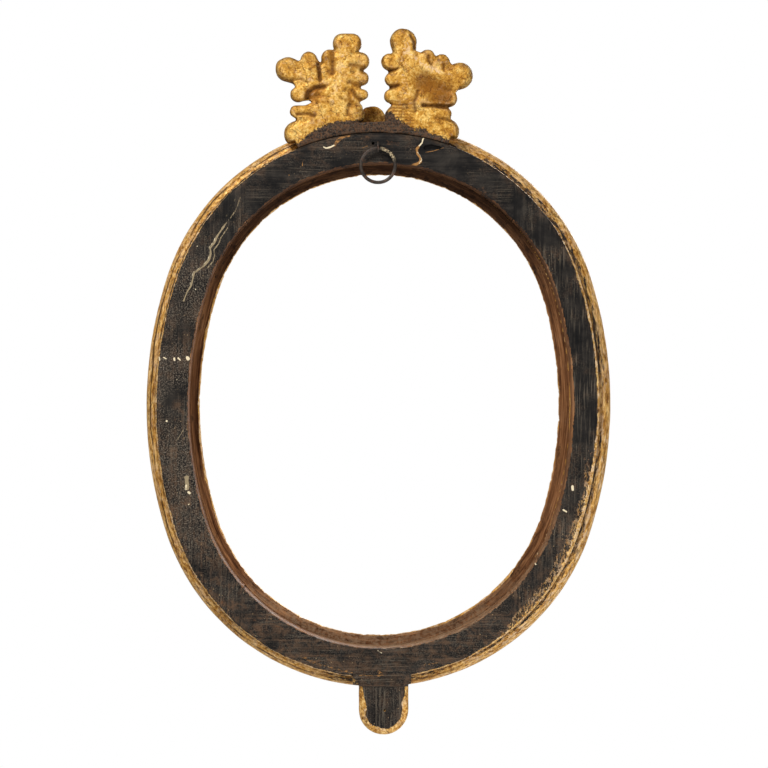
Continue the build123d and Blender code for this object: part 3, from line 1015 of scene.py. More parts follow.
# Marks of use on the boards, as (x, z) on the back
LONG_SCRATCH = (
    (123, 141),
    (128.4, 133),
    (130, 128.5),
    (133.8, 123.6),
    (133.2, 119),
    (134.6, 114.2),
    (138.6, 109.5),
    (146.2, 104),
    (148.6, 94),
    (151.8, 89),
    (154.4, 82),
)
BACK_STROKES = (
    Stroke(Tint.SAND, 2.0, -0.15, LONG_SCRATCH, 0.66),
    Stroke(Tint.CREAM, 0.7, -0.15, tuple((x + 0.9, z + 0.5) for x, z in LONG_SCRATCH[1:9]), 0.5),
    Stroke(Tint.SAND, 1.4, -0.15, tuple((x - 3.0, z - 1.2) for x, z in LONG_SCRATCH[:7]), 0.56),
    Stroke(Tint.SAND, 1.3, -0.1, ((110, 164), (114, 153), (123, 141)), 0.5),
    Stroke(Tint.SAND, 10.0, 0.0, ((112, 163), (118, 151), (122, 142)), 0.3),
    Stroke(Tint.RUST, 9.0, 0.0, ((-80, 171), (-83, 169)), 0.4),
    Stroke(Tint.RUST, 9.0, -0.1, ((162, -84), (156, -95)), 0.4),
    Stroke(Tint.CREAM, 1.7, 0.3, ((36.5, 205.5), (38.5, 204.2), (41, 203.4), (43, 203.2), (44.5, 204)), 0.8),
    Stroke(Tint.OCHRE, 4.6, 0.2, ((25, 213.5), (28, 212.6), (31, 211), (34, 208.4), (36, 206)), 0.52),
    Stroke(Tint.CREAM, 1.7, 0.3, ((-33.2, 215), (-34, 211.6), (-33.2, 208), (-31, 205.4)), 0.7),
    Stroke(Tint.OCHRE, 3.0, 0.3, ((-31, 205.4), (-29, 202.6), (-29.4, 199), (-31.8, 196)), 0.66),
    Stroke(Tint.OCHRE, 3.0, 0.3, ((-31.8, 196), (-32, 192.8), (-29.4, 191), (-24.5, 190)), 0.62),
    Stroke(Tint.CREAM, 1.1, 0.3, ((-29.4, 200.5), (-31.8, 197.6), (-33, 194.4), (-31, 191.6)), 0.55),
    Stroke(Tint.RUST, 7.0, 0.0, ((12, 211), (7, 212)), 0.4),
    Stroke(Tint.RUST, 6.0, 0.0, ((-6, 208), (-14, 207)), 0.4),
    Stroke(Tint.OCHRE, 2.2, 0.1, ((8, 190.5), (0, 191.5), (-8, 191)), 0.45),
    # A recess beside the drip, painted near-black as shade.
    Stroke(Tint.PIT, 4.4, -1.6, ((-36, 204), (-41, 205), (-47, 204)), 0.9),
    Stroke(Tint.OCHRE, 0.9, -0.2, ((-36, 200.4), (-42, 201.4), (-50, 204)), 0.6),
    # A hole by the pin, painted near-black as shade.
    Stroke(Tint.PIT, 2.6, -3.5, ((5.6, 207),)),
    Stroke(Tint.OCHRE, 1.6, -0.1, ((10, 205), (14, 203.5)), 0.5),
    Stroke(Tint.CREAM, 2.2, 0.3, ((173.6, 37), (173.4, 35)), 0.9),
    Stroke(Tint.CREAM, 1.5, 0.2, ((170, 37), (168, 36)), 0.7),
    Stroke(Tint.CREAM, 1.7, 0.3, ((161.6, 36.4), (161.4, 35)), 0.9),
    Stroke(Tint.CREAM, 1.6, 0.2, ((158.4, 36.6), (156.8, 35)), 0.8),
    Stroke(Tint.CREAM, 3.2, 0.4, ((151, 36.9), (150.7, 36)), 0.9),
    Stroke(Tint.CREAM, 1.8, 0.3, ((167.3, -13.2),), 0.9),
    Stroke(Tint.CREAM, 1.2, 0.2, ((159.4, 19.5),), 0.7),
    Stroke(Tint.CREAM, 1.4, 0.2, ((145, 91),), 0.8),
    Stroke(Tint.CREAM, 1.3, 0.2, ((144, 125),), 0.7),
    Stroke(Tint.SAND, 1.0, -0.1, ((154, -20), (159.6, -29)), 0.5),
    Stroke(Tint.SAND, 4.6, 0.4, ((151.2, -58), (151, -66)), 0.8),
    Stroke(Tint.CREAM, 2.6, 0.4, ((151.6, -64), (152, -67)), 0.55),
    Stroke(Tint.CREAM, 2.6, 0.4, ((149.8, -69.4), (149, -70)), 0.8),
    Stroke(Tint.CREAM, 1.5, 0.2, ((149.5, -79),), 0.7),
    Stroke(Tint.CREAM, 2.8, 0.3, ((-153.8, -63), (-154, -65.5)), 0.9),
    Stroke(Tint.CREAM, 1.5, 0.2, ((-146.5, -81.5), (-149, -83)), 0.8),
    Stroke(Tint.CREAM, 1.8, -0.2, ((-123.8, -123), (-125.2, -125)), 0.7),
    Stroke(Tint.CREAM, 1.2, -0.1, ((-0.5, -193.8), (-3.6, -195.6)), 0.5),
    Stroke(Tint.OCHRE, 1.2, -0.1, ((61.2, 192), (61.2, 189)), 0.6),
    Stroke(Tint.OCHRE, 1.6, -0.1, ((71.8, 181.7),), 0.6),
    Stroke(Tint.RUST, 5.5, -0.2, ((131, -146), (132, -148)), 0.45),
    Stroke(Tint.RUST, 4.0, -0.2, ((123, -156), (121, -158)), 0.45),
    Stroke(Tint.OCHRE, 3.0, -0.15, ((60, -198.5), (50, -203.6), (34, -208.4), (20, -211.2)), 0.42),
    Stroke(Tint.OCHRE, 2.6, -0.15, ((16, -213.6), (-6, -213.8)), 0.5),
    Stroke(Tint.OCHRE, 4.0, -0.15, ((-1, -210), (-4, -212.5)), 0.45),
    Stroke(Tint.OCHRE, 2.4, -0.15, ((-38, -205), (-48, -203)), 0.42),
    Stroke(Tint.RUST, 3.5, -0.1, ((102, -168.6), (96, -171)), 0.42),
    Stroke(Tint.RUST, 3.5, -0.1, ((80, -174), (74, -178)), 0.42),
)


@dataclass
class BackBoards:
    """Two stiles and two rails behind the moulding, painted black and worn at their edges."""

    oval: Oval
    grid: float = 1.3
    ledge_width: float = 7.5
    board_width: float = 24.0
    board_shift: float = 0.8
    rabbet_shift: float = -1.6
    wall_start: float = 1.2
    stroke_margin: float = 1.5
    joint_reach: float = 0.95
    joint_line: float = 0.8
    names: tuple[str, ...] = ("left_stile", "right_stile", "top_rail", "bottom_rail")

    def joints(self) -> tuple[Stroke, ...]:
        """Find the lines where one board's back meets the next one's, or the pendant's tongue.

        Returns:
            The lines, as faint open joints.
        """
        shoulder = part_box("right_stile")[0].x / MM
        inside, outside = 143.0, 181.0
        laps = [
            Stroke(Tint.PIT, self.joint_line, -0.2, ((x, up * inside), (x, up * outside)), 0.45)
            for x in (-shoulder, shoulder)
            for up in (-1, 1)
        ]
        low, high = (np.array(corner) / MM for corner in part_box("pendant"))
        edge = -self.oval.half_height - self.ledge_width - self.board_width
        corners = ((low[0], edge), (low[0], high[2]), (high[0], high[2]), (high[0], edge))
        tongue = Stroke(Tint.PIT, self.joint_line, -0.2, corners, 0.5)
        return (*laps, tongue)

    def gaps(self, points: Array) -> tuple[Array, Array, Array]:
        """Measure how far points lie from the boards' edges.

        Args:
            points: Places, three numbers to a row.

        Returns:
            Distance inside the outer edge, distance outside the rabbet, and depth behind the back.
        """
        outer = self.ledge_width + self.board_width - self.oval.place(points, self.board_shift)[0]
        inner = self.oval.place(points, self.rabbet_shift)[0] - self.ledge_width
        return outer, inner, -points[:, 1]

    def chipped(self, points: Array) -> Array:
        """Tell where the outer edge has lost its paint: low on the left, as the front sees it.

        Args:
            points: Places, three numbers to a row.

        Returns:
            Shares from 0 to 1.
        """
        outer = self.gaps(points)[0]
        turn = self.oval.place(points)[1]
        stretch = ease(turn, -179, -170) * ease(turn, -112, -130) * (points[:, 0] < 0)
        reach = 11 + 5 * Grain(17).layered(points, 22.0)
        return stretch * ease(outer, reach, 0.65 * reach)

    def wear(self, piece: FinePiece, still: Array) -> None:
        """Round, dent and chip a board.

        Args:
            piece: The board.
            still: How far each point lies from the nearest joint, where nothing may move.
        """
        points = piece.points()
        outer, inner, depth = self.gaps(points)
        arris = np.exp(-(np.minimum(outer, inner) ** 2 + depth**2) / 5.0)
        chips = unit(Grain(5).layered(points, (9, 9, 9), 4))
        sway = 0.06 * (Grain(6).layered(points, 34.0) - 1)
        pits = 0.5 * unit(Grain(7).layered(points, 3.4) - 0.2) * self.chipped(points)
        piece.swell((sway - arris * (0.2 + 1.2 * chips) - pits) * ease(still, 0.4, 2.5))

    def build(self, name: str) -> FinePiece:
        """Make one board.

        Args:
            name: The board's CAD node.

        Returns:
            The worn and marked board.
        """
        piece = FinePiece(name, fine_mesh((name,), self.grid))
        strokes = strokes_on(piece, (*self.joints(), *BACK_STROKES))
        shoulder = np.array([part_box("right_stile")[0].x, 0, 0]) / MM
        across = np.array([1.0, 0, 0])
        gaps = [piece.seat(side * shoulder, across, self.joint_reach) for side in (-1, 1)]
        if name == "bottom_rail":
            low, high = (np.array(corner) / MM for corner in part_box("pendant"))
            gaps.append(piece.seat(high, np.array([0, 0, 1.0]), self.joint_reach))
            gaps.extend(piece.seat(corner, across, self.joint_reach) for corner in (low, high))

        def near_stroke(centres: Array) -> Array:
            """Tell which face centres lie close to a stroke on the back.

            Args:
                centres: Places, three numbers to a row.

            Returns:
                A truth value for each.
            """
            near = np.zeros(len(centres), bool)
            for stroke in strokes:
                near |= stroke.distance(centres) < stroke.width / 2 + self.stroke_margin
            return near & (centres[:, 1] > -self.wall_start)

        self.wear(piece, np.minimum.reduce(gaps))
        piece.refine(near_stroke, 2)
        facing = ease(piece.points()[:, 1], -3.2, -1.6)
        piece.mark(**apply_strokes(piece, strokes, facing))
        self.colour(piece)
        return piece

    def colour(self, piece: FinePiece) -> None:
        """Say where paint, dust, gold, chalk and bare wood show on a board.

        Args:
            piece: The board.
        """
        points = piece.points()
        across, rise = points[:, 0], points[:, 2]
        outer, inner, depth = self.gaps(points)
        uneven = Grain(8).layered(points, 12.0, 4)
        low_half = ease(rise, 30.0, -190.0)
        low_end = ease(rise, -60.0, -170.0)
        left = ease(across, -60.0, -130.0)
        right = ease(across, 100.0, 150.0)
        middle = ease(np.abs(rise), 150.0, 90.0)
        on_wall = ease(inner, 1.2, 0.4) * ease(depth, 0.7, 1.5)
        bare_arris = 0.3 + 0.9 * left * middle + 0.4 * low_end + 0.4 * right + 0.5 * uneven
        crown = ease(np.abs(across), 70.0, 56.0) * (rise > 0)
        bare_edge = 0.4 + 1.5 * left * middle + 0.6 * right + 0.5 * low_half + 0.6 * uneven - 2.5 * crown
        chipped = self.chipped(points)
        paint = 0.5 + 0.45 * np.minimum(inner - bare_arris, outer - bare_edge)
        paint = unit(paint) - 0.46 * chipped
        near_edge = ease(outer, 7.0, 1.5)
        patches = ease(Grain(12).layered(points, 26.0, 3), -0.8, 0.0)
        dust = 0.05 + 0.4 * low_half + 0.3 * low_end + 0.2 * right * middle + 0.3 * near_edge + 0.5 * uneven
        wash = 0.2 * left * middle + low_end * (0.2 + 0.6 * ease(across, 60.0, 0.0)) + 1.2 * chipped
        piece.mark(
            paint=paint,
            dust=unit(dust),
            craze=unit(0.1 + 0.9 * right * middle * patches + 0.3 * low_half + 0.3 * uneven),
            score=unit(0.2 + 0.3 * left * middle + 0.2 * low_end + 0.4 * uneven),
            fleck=unit(0.2 + 0.6 * low_half + 0.4 * right * middle + 0.4 * uneven),
            gilt=np.maximum(ease(outer, 5.0, 2.0), 0.55 * chipped),
            chalk=np.maximum(ease(outer, 5.0, 2.0), chipped),
            dirt=0.25 * ease(uneven, 0.0, 0.8),
            # Painted shade: the top of the rabbet's wall, which faces down, darkened as if in the rail's
            # shadow.
            stain=0.5 * ease(rise, 20.0, 150.0) * on_wall,
            wash=unit(wash + 0.3 * uneven),
        )

    def dress(self) -> None:
        """Make and finish the four boards."""
        finishes = {
            "stile": WoodFinish("black_stile", Run.UPRIGHT, tear=(1, 1, 0.45)).material(),
            "rail": WoodFinish("black_rail", Run.LEVEL, tear=(0.45, 1, 1)).material(),
        }
        for name in self.names:
            self.build(name).dress(finishes[name.split("_")[1]], "black_back")


@dataclass(frozen=True)
class CrownPaint:
    """Black paint that runs up from the top rail over the flank and the sprays' feet."""

    oval: Oval
    reach: tuple[Place, ...] = (
        (-70, 30.0),
        (-64, 32.5),
        (-58, 35.5),
        (-49, 36.5),
        (-40, 36.5),
        (-34, 39.0),
        (-27, 36.5),
        (-22, 40.0),
        (-12, 43.5),
        (-8.5, 49.0),
        (-4, 50.0),
        (2, 43.5),
        (20, 42.8),
        (33, 44.0),
        (45, 42.4),
        (54, 40.8),
        (60, 38.5),
        (68, 34.0),
        (76, 30.0),
    )

    def cover(self, points: Array) -> Array:
        """Tell where the paint lies.

        Args:
            points: Places, three numbers to a row.

        Returns:
            Shares from 0 to 1.
        """
        across, offsets = zip(*self.reach)
        limit = np.interp(points[:, 0], across, offsets, left=0.0, right=0.0)
        limit += 1.4 * Grain(24).layered(points, 6.0)
        beyond = self.oval.place(points)[0] - limit
        return unit(0.5 - 0.16 * beyond) * (points[:, 2] > 0)


@dataclass
class FrontMoulding:
    """Four lengths of gilt moulding, with the bare ledge of the rabbet behind them."""

    oval: Oval
    grid: float = 1.5
    ledge_width: float = 7.5
    boards_front: float = 20.0
    board_outside: float = 31.5
    flank_start: float = 34.0
    seam: float = 38.6
    lengths: tuple[tuple[str, float, float], ...] = (
        ("moulding_top_right", 0.0, 90.0),
        ("moulding_top_left", 90.0, 180.0),
        ("moulding_bottom_left", 180.0, 262.0),
        ("moulding_bottom_right", -98.0, 0.0),
    )

    def ring(self) -> bpy.types.Mesh:
        """Carve the whole moulding before it is sawn at its joints.

        Returns:
            The worn ring, with its ridges and hollows told apart.
        """
        names = [name for name, *_ in self.lengths]
        piece = FinePiece(names[0], fine_mesh(names, self.grid))
        points = piece.points()
        offset = self.oval.place(points)[0]
        sight = ease(offset, 2.2, 0.2)
        chips = unit(Grain(21).layered(points, 5.0, 3) - 0.05)
        sway = 0.2 * Grain(22).layered(points, 26.0) - 0.16
        rub = 0.3 * np.clip(piece.relief(6), 0, 0.6)
        lean = 0.4 + 1.2 * ease(points[:, 0], 90.0, 140.0)
        wear = sway - rub + sight * (lean - 1.4 * chips)
        moved = points + piece.normals() * wear[:, None]
        piece.mesh.vertices.foreach_set("co", (moved * MM).astype(np.float32).ravel())
        piece.mesh.update()
        piece.mark(proud=piece.relief(10))
        mesh = piece.mesh
        bpy.data.objects.remove(piece.object)
        return mesh

    def build(self, ring: bpy.types.Mesh, name: str, start: float, end: float) -> FinePiece:
        """Saw one length from the ring.

        Args:
            ring: The whole moulding.
            name: The length's CAD node.
            start: Direction of its first joint, in degrees.
            end: Direction of its last joint, in degrees.

        Returns:
            The length, with its zones marked.
        """
        piece = FinePiece(name, ring.copy())
        place, normal = self.oval.joint(start)
        end_place, end_normal = self.oval.joint(end)
        middle = self.oval.joint((start + end) / 2)[1]
        outward = np.array([middle[2], 0, -middle[0]])
        piece.saw((np.zeros(3), outward), (place, normal), (end_place, -end_normal))
        piece.put(piece.points())
        self.colour(piece, (start + end) / 2)
        return piece

    def colour(self, piece: FinePiece, middle: float) -> None:
        """Say where gold, paint, soiling, painted shade and bare wood show on a length of moulding.

        Args:
            piece: The length.
            middle: Direction of its middle, in degrees.
        """
        points = piece.points()
        across, rise, depth = points[:, 0], points[:, 2], -points[:, 1]
        offset, turn = self.oval.place(points)
        turn = (turn - middle + 180) % 360 - 180 + middle
        uneven = Grain(23).layered(points, 9.0, 4)
        proud = np.empty(len(points), np.float32)
        piece.mesh.attributes["proud"].data.foreach_get("value", proud)
        behind = ease(depth, self.boards_front + 1.7, self.boards_front + 1.0)
        low_corner = ease(across, -20.0, -50.0) * ease(rise, -110.0, -140.0)
        sight_gold = 1.4 * Grain(25).layered(points, 14.0, 4) + 1.4 * low_corner - 0.2
        ledge = behind * ease(offset, 9.5, 8.8) * unit(0.5 + 0.5 * (offset - sight_gold))
        flank = ease(offset, self.board_outside - 1, self.board_outside) * ease(depth, 33.5, 31.5)
        below_crest = ease(np.abs(across), 100.0, 75.0) * (rise > 0)
        # The flat ring beside the boards' outer side; darkening it below is painted shadow in the gap
        # between board and flank.
        beside = ease(offset, self.flank_start + 2.2 + 0.8 * uneven, self.flank_start + 0.6) * flank
        beside *= 1 - 0.8 * below_crest
        bottom = ease(np.abs(across + 4), 75.0, 35.0) * (rise < 0) * ease(offset, 41.4, 38.5)
        low_left = ease(across, -40.0, -100.0) * ease(rise, 10.0, -30.0)
        upper_right = ease(across, 20.0, 70.0) * ease(rise, 20.0, 70.0)
        crown = CrownPaint(self.oval).cover(points)
        flaked = 0.5 * low_left * ease(offset, 37.5, 35.5)
        upper_left = ease(across, -60.0, -90.0) * ease(rise, -10.0, 30.0)
        torn = 0.5 * upper_left * ease(offset, self.seam + 1.6 * uneven, 36.4)
        paint = np.maximum.reduce([crown, 0.45 * bottom, flaked, torn, 0.6 * upper_right * beside]) * flank
        mean_radius = (self.oval.half_width + self.oval.half_height) / 2
        hollow = unit(-1.6 * proud)
        # Soiling in the hollows and low down, and painted shadow in the gap beside the boards.
        dirt = 0.6 * hollow + 0.85 * beside + 0.45 * bottom + 0.15 * ease(uneven, 0.1, 0.7)
        worn = 0.2 + unit(1.6 * proud) + 0.5 * uneven + 0.6 * low_left + ease(offset, 1.8, 0.8)
        piece.mark(
            run=np.radians(turn) * mean_radius * MM,
            offset=offset * MM,
            depth=depth * MM,
            gilt=1 - ledge,
            paint=paint,
            dust=0.35 + 0.5 * np.maximum(bottom, crown),
            rust=0.5 * crown * flank,
            craze=0.3,
            dirt=np.clip(dirt, 0, 0.92),
            seam=flank * (0.35 + 0.55 * ease(across, 20.0, 80.0)) * (1 - upper_left),
            calm=0.9 * np.maximum(ease(depth, 31.0, 34.0), ease(offset, 30.0, 26.0)),
            chalk=unit(worn),
            # Painted shade on the bare ledge at the top, where the rail above shades it.
            stain=0.75 * ease(rise, 40.0, 160.0),
            wash=unit(0.6 * ease(rise, -120.0, -175.0) + 0.2 * uneven),
        )
        piece.mesh.attributes.remove(piece.mesh.attributes["proud"])

    def dress(self) -> None:
        """Make and finish the four lengths."""
        gold = srgb(122, 77, 30), srgb(197, 146, 72), srgb(242, 202, 130)
        gilding = Gilding((0.65, 1, 1), *gold, patch=6.0)
        finish = WoodFinish("gilt_moulding", Run.ROUND, gilding, (0.3, 1, 1), 0.3, True, self.seam)
        material = finish.material()
        ring = self.ring()
        for length in self.lengths:
            self.build(ring, *length).dress(material, "gilt_wood")


@dataclass(frozen=True)
class Crease:
    """A carved hollow or ridge on a leaf's back, along (across, above the rim) places."""

    width: float
    rise: float
    route: tuple[Place, ...]

    def lift(self, points: Array, rim_top: float) -> Array:
        """Give how far the back moves at each point.

        Args:
            points: Places, three numbers to a row.
            rim_top: Height of the moulding's top.

        Returns:
            Moves towards the viewer of the back.
        """
        line = Stroke(Tint.PIT, self.width, 0.0, tuple((x, z + rim_top) for x, z in self.route))
        return self.rise * np.exp(-((line.distance(points) / (0.5 * self.width)) ** 2))


LEAF_CREASES = {
    "crest_right_leaf": (
        Crease(4.0, -3.2, ((44, 25.5), (52, 24), (57, 20.5), (58, 15.5))),
        Crease(8.0, -1.6, ((50, 19), (55, 17))),
        Crease(4.0, 1.2, ((66, 36), (58, 31), (50, 27.5), (43, 26.5))),
        Crease(3.0, -1.4, ((70, 30), (63, 31), (57, 28.5))),
        Crease(2.6, -3.0, ((49.5, 43), (48.5, 36), (48, 30))),
        Crease(5.0, -1.8, ((39, 52), (38, 43), (38, 36))),
        Crease(7.0, 1.4, ((29, 56), (29, 44), (33, 30), (37, 14))),
        Crease(4.2, -1.7, ((12, 37.5), (18, 41.5), (24, 42.5))),
        Crease(4.0, -1.5, ((13, 25.5), (19, 26.5), (25, 28.5))),
        Crease(3.0, -2.0, ((15, 14.5), (20, 18), (22, 22))),
        Crease(4.0, -1.4, ((25, 22), (24, 14), (26, 4))),
        Crease(3.0, -1.2, ((27, 14), (33, 17), (41, 17))),
        Crease(2.6, -1.8, ((66, 3), (58, 3.5), (52, 2))),
        Crease(3.0, 0.9, ((57, -5), (48, -1), (38, 1))),
    ),
    "crest_left_leaf": (
        Crease(2.8, -3.0, ((-34, 10.8), (-45, 10.4), (-58, 10))),
        Crease(7.0, -1.2, ((-42, 15), (-54, 14.5))),
        Crease(4.6, 2.2, ((-20, 56), (-25, 48), (-36, 42), (-45, 37), (-54, 34))),
        Crease(15.0, -2.8, ((-34, 30), (-42, 25), (-51, 19.5))),
        Crease(6.5, 1.5, ((-21, 60), (-18, 46), (-17, 30), (-20, 18))),
        Crease(2.6, -2.0, ((-24, 66), (-27, 61), (-27, 56))),
        Crease(2.8, -2.2, ((-3, 37.5), (-10, 38.5), (-14, 40))),
        Crease(2.8, -2.2, ((-4, 25), (-11, 25.5), (-15, 27))),
        Crease(2.6, -1.5, ((-38, 50), (-38, 46), (-40, 43))),
        Crease(2.6, -1.5, ((-50, 43), (-50, 39), (-51, 36))),
        Crease(3.0, -1.4, ((-30, 22), (-27, 14), (-28, 6))),
        Crease(2.6, -1.4, ((-60, -2), (-52, 0), (-44, 1))),
    ),
}


@dataclass
class CarvedCrest:
    """Two leaf sprays and the boss between them, carved in the round and gilt."""

    rim_top: float
    paint: CrownPaint
    leaf_grid: float = 0.8
    boss_grid: float = 0.6
    rasp_pitch: float = 2.6
    rasp_depth: float = 0.55
    boss_overlap: float = 4.5
    feet_joint: float = 88.0

    def rasp(self, points: Array) -> Array:
        """Give the level tool lines on a leaf's base.

        Args:
            points: Places, three numbers to a row.

        Returns:
            Moves of the leaf's back.
        """
        rise = points[:, 2] - self.rim_top
        zone = ease(rise, 18.0, 10.0) * ease(np.abs(points[:, 0] + 17), 13.0, 7.0)
        waver = 2.2 * Grain(34).layered(points, (9.0, 9.0, 5.0))
        return -self.rasp_depth * zone * (0.5 + 0.5 * np.sin(2 * np.pi * rise / self.rasp_pitch + waver))

    def meet_boss(self, points: Array) -> Array:
        """Give how far a leaf's base spreads behind the boss.

        Args:
            points: Places, three numbers to a row.

        Returns:
            Moves across.
        """
        across, behind, rise = points[:, 0], points[:, 1], points[:, 2] - self.rim_top
        base = ease(across, 26.0, 18.0) * ease(rise, 15.0, 9.0) * ease(rise, -4.0, -1.0)
        return -self.boss_overlap * base * ease(behind, -21.5, -18.5) * (across > 8)

    def build_leaf(self, name: str) -> FinePiece:
        """Carve one spray.

        Args:
            name: Its CAD node.

        Returns:
            The carved leaf, with its zones marked.
        """
        piece = FinePiece(name, fine_mesh((name,), self.leaf_grid))
        piece.smooth(6)
        points = piece.points()
        back = ease(piece.normals()[:, 1], 0.1, 0.6)
        shift = sum(crease.lift(points, self.rim_top) for crease in LEAF_CREASES[name])
        facets = 0.5 * Grain(31).layered(points, 11.0, 2) + 0.26 * Grain(32).layered(points, 3.6, 3)
        points[:, 0] += self.meet_boss(points)
        points[:, 1] += back * shift
        piece.put(points)
        piece.swell(facets - 0.1)
        piece.smooth(1)
        points = piece.points()
        rasp = back * self.rasp(points)
        points[:, 1] += rasp
        piece.put(points)
        direction = math.radians(self.feet_joint)
        centre = np.array([0, 0, self.paint.oval.end_arc_centre])
        across = np.array([math.sin(direction), 0, -math.cos(direction)])
        piece.seat(centre, across, self.leaf_grid, self.rim_top)
        self.colour(piece, back * shift + 2.5 * rasp)
        return piece

    def colour(self, piece: FinePiece, shift: Array | float = 0.0) -> None:
        """Say where soiling, painted shade, chalk and paint lie on a carved piece.

        Args:
            piece: The piece.
            shift: How far the carving moved each point of its back.
        """
        points = piece.points()
        relief = piece.relief(14)
        # Painted shade: sides that turn away from the back get dark outlines round the lobes.
        edge = ease(np.abs(piece.normals()[:, 1]), 0.85, 0.4)
        uneven = Grain(35).layered(points, 10.0, 4)
        back = ease(points[:, 1], -32.0, -28.0)
        painted = self.paint.cover(points) * back
        hollow = unit(-1.6 * relief)
        # Painted shade on the leaf bases next to the boss.
        shade_beside_boss = ease(np.abs(points[:, 0] - 6), 20.0, 8.0)
        shade_beside_boss *= ease(points[:, 2] - self.rim_top, 17.0, 5.0)
        # Painted shade at the lobes' sides and beside the boss, with soiling in the hollows.
        dirt = 0.85 * edge + 0.9 * hollow + 0.5 * shade_beside_boss + 0.15 * uneven
        ridge = unit(1.3 * relief) + 0.6 * np.clip(shift, 0, 2.0)
        piece.mark(
            gilt=1.0,
            paint=0.95 * painted,
            rust=0.45 * painted + 0.15 * (1 - np.abs(2 * painted - 1)),
            dust=0.95,
            craze=0.5,
            aged=np.clip(-0.45 * shift + 0.3 * uneven, 0, 0.85),
            calm=0.3 + 0.5 * ease(piece.normals()[:, 1], 0.1, -0.4),
            dirt=np.clip(dirt, 0, 0.9),
            chalk=unit(0.7 * ridge + 0.3 * uneven),
        )

    def build_boss(self) -> FinePiece:
        """Carve the boss.

        Returns:
            The boss, with a rough back.
        """
        piece = FinePiece("crest_boss", fine_mesh(("crest_boss",), self.boss_grid))
        rough = Grain(36).layered(piece.points(), 4.0, 3) + 0.4 * Grain(37).layered(piece.points(), 1.6, 2)
        piece.swell(0.4 * rough - 0.2)
        self.colour(piece)
        piece.mesh.attributes.remove(piece.mesh.attributes["paint"])
        return piece

    def dress(self) -> None:
        """Make and finish the crest."""
        gold = srgb(136, 84, 24), srgb(202, 148, 60), srgb(248, 208, 122)
        gilding = Gilding((1, 1, 1), *gold, patch=11.0, grain=0.4, speck=0.5)
        finish = WoodFinish("gilt_carving", Run.LEVEL, gilding, relief=0.5).material()
        for name in LEAF_CREASES:
            self.build_leaf(name).dress(finish, "gilt_wood")
        self.build_boss().dress(finish, "bare_wood")


@dataclass
class Pendant:
    """Rounded drop under the frame, black behind and gilt round its edge."""

    rim_top: float
    grid: float = 0.9
    middle: float = -5.4
    radius: float = 19.8
    length: float = 33.8
    rim_at_top: float = 3.2
    rim_below: float = 5.6
    rim_growth: float = 12.0
    shoulder: float = -5.0
    boards_edge: float = -11.5
    # The nail hole, painted near-black as shade inside it.
    nail: Stroke = Stroke(Tint.PIT, 2.2, -3.0, ((-6.2, -241.2),))

    def inset(self, points: Array) -> Array:
        """Measure how far points lie inside the drop's outline.

        Args:
            points: Places, three numbers to a row.

        Returns:
            The distances.
        """
        across = points[:, 0] - self.middle
        below = np.minimum(points[:, 2] - (self.radius - self.length - self.rim_top), 0)
        return self.radius - np.hypot(across, below)

    def build(self) -> FinePiece:
        """Make the pendant.

        Returns:
            The worn pendant, with its zones marked.
        """
        piece = FinePiece("pendant", fine_mesh(("pendant",), self.grid))
        across = np.array([1.0, 0, 0])
        gaps = [piece.seat(piece.high, np.array([0, 0, 1.0]), self.grid)]
        gaps.extend(piece.seat(corner, across, self.grid) for corner in (piece.low, piece.high))
        still = ease(np.minimum.reduce(gaps), 0.4, 2.5)
        piece.swell((0.25 * Grain(41).layered(piece.points(), 8.0, 3) - 0.15) * still)
        piece.refine(lambda centres: (self.nail.distance(centres) < 3) & (centres[:, 1] > -4), 2)
        facing = ease(piece.normals()[:, 1], 0.3, 0.7)
        strokes = strokes_on(piece, (self.nail, *BACK_STROKES))
        piece.mark(**apply_strokes(piece, strokes, facing))
        self.colour(piece)
        return piece

    def colour(self, piece: FinePiece) -> None:
        """Say where paint, gold, chalk and soiling show on the pendant.

        Args:
            piece: The pendant.
        """
        points = piece.points()
        uneven = Grain(42).layered(points, 6.0, 4)
        below_rim = -self.rim_top - points[:, 2]
        block = ease(below_rim, self.shoulder + 0.6, self.shoulder - 0.6)
        rim = self.rim_at_top + (self.rim_below - self.rim_at_top) * ease(below_rim, 0.0, self.rim_growth)
        inset = self.inset(points) - rim - 1.2 * uneven
        back = ease(piece.normals()[:, 1], 0.2, 0.7) * unit(0.5 + 0.5 * inset)
        along, sideways = np.where(block > 0.5, points[:, (0, 2)].T, points[:, (2, 0)].T)
        wings = ease(np.abs(points[:, 0] - self.middle), self.radius - 0.6, self.radius + 0.6)
        wings *= ease(below_rim, self.boards_edge - 0.8, self.boards_edge + 0.8)
        rail_patches = Grain(8).layered(points, 12.0, 4)
        line = np.exp(-(((inset + 0.6) / 0.9) ** 2)) * ease(below_rim, 4.0, 10.0)
        piece.mark(
            run=along * MM,
            offset=points[:, 1] * MM,
            depth=sideways * MM,
            gilt=1.0,
            paint=np.maximum(back, block) * (1 - 0.45 * wings),
            calm=0.8 * ease(piece.normals()[:, 1], 0.1, -0.4),
            dust=unit(0.3 + 0.4 * block + 0.4 * rail_patches),
            craze=unit(0.4 + 0.3 * rail_patches),
            score=0.5,
            fleck=0.7,
            dirt=np.clip(0.3 * uneven - 1.2 * piece.relief(10) + 0.9 * wings, 0, 0.9),
            chalk=unit(0.1 + line + 0.5 * uneven),
        )

    def dress(self) -> None:
        """Make and finish the pendant."""
        finish = WoodFinish("gilt_pendant", Run.LEVEL, tear=(0.45, 1, 1), round_the_oval=True)
        self.build().dress(finish.material(), "gilt_wood")


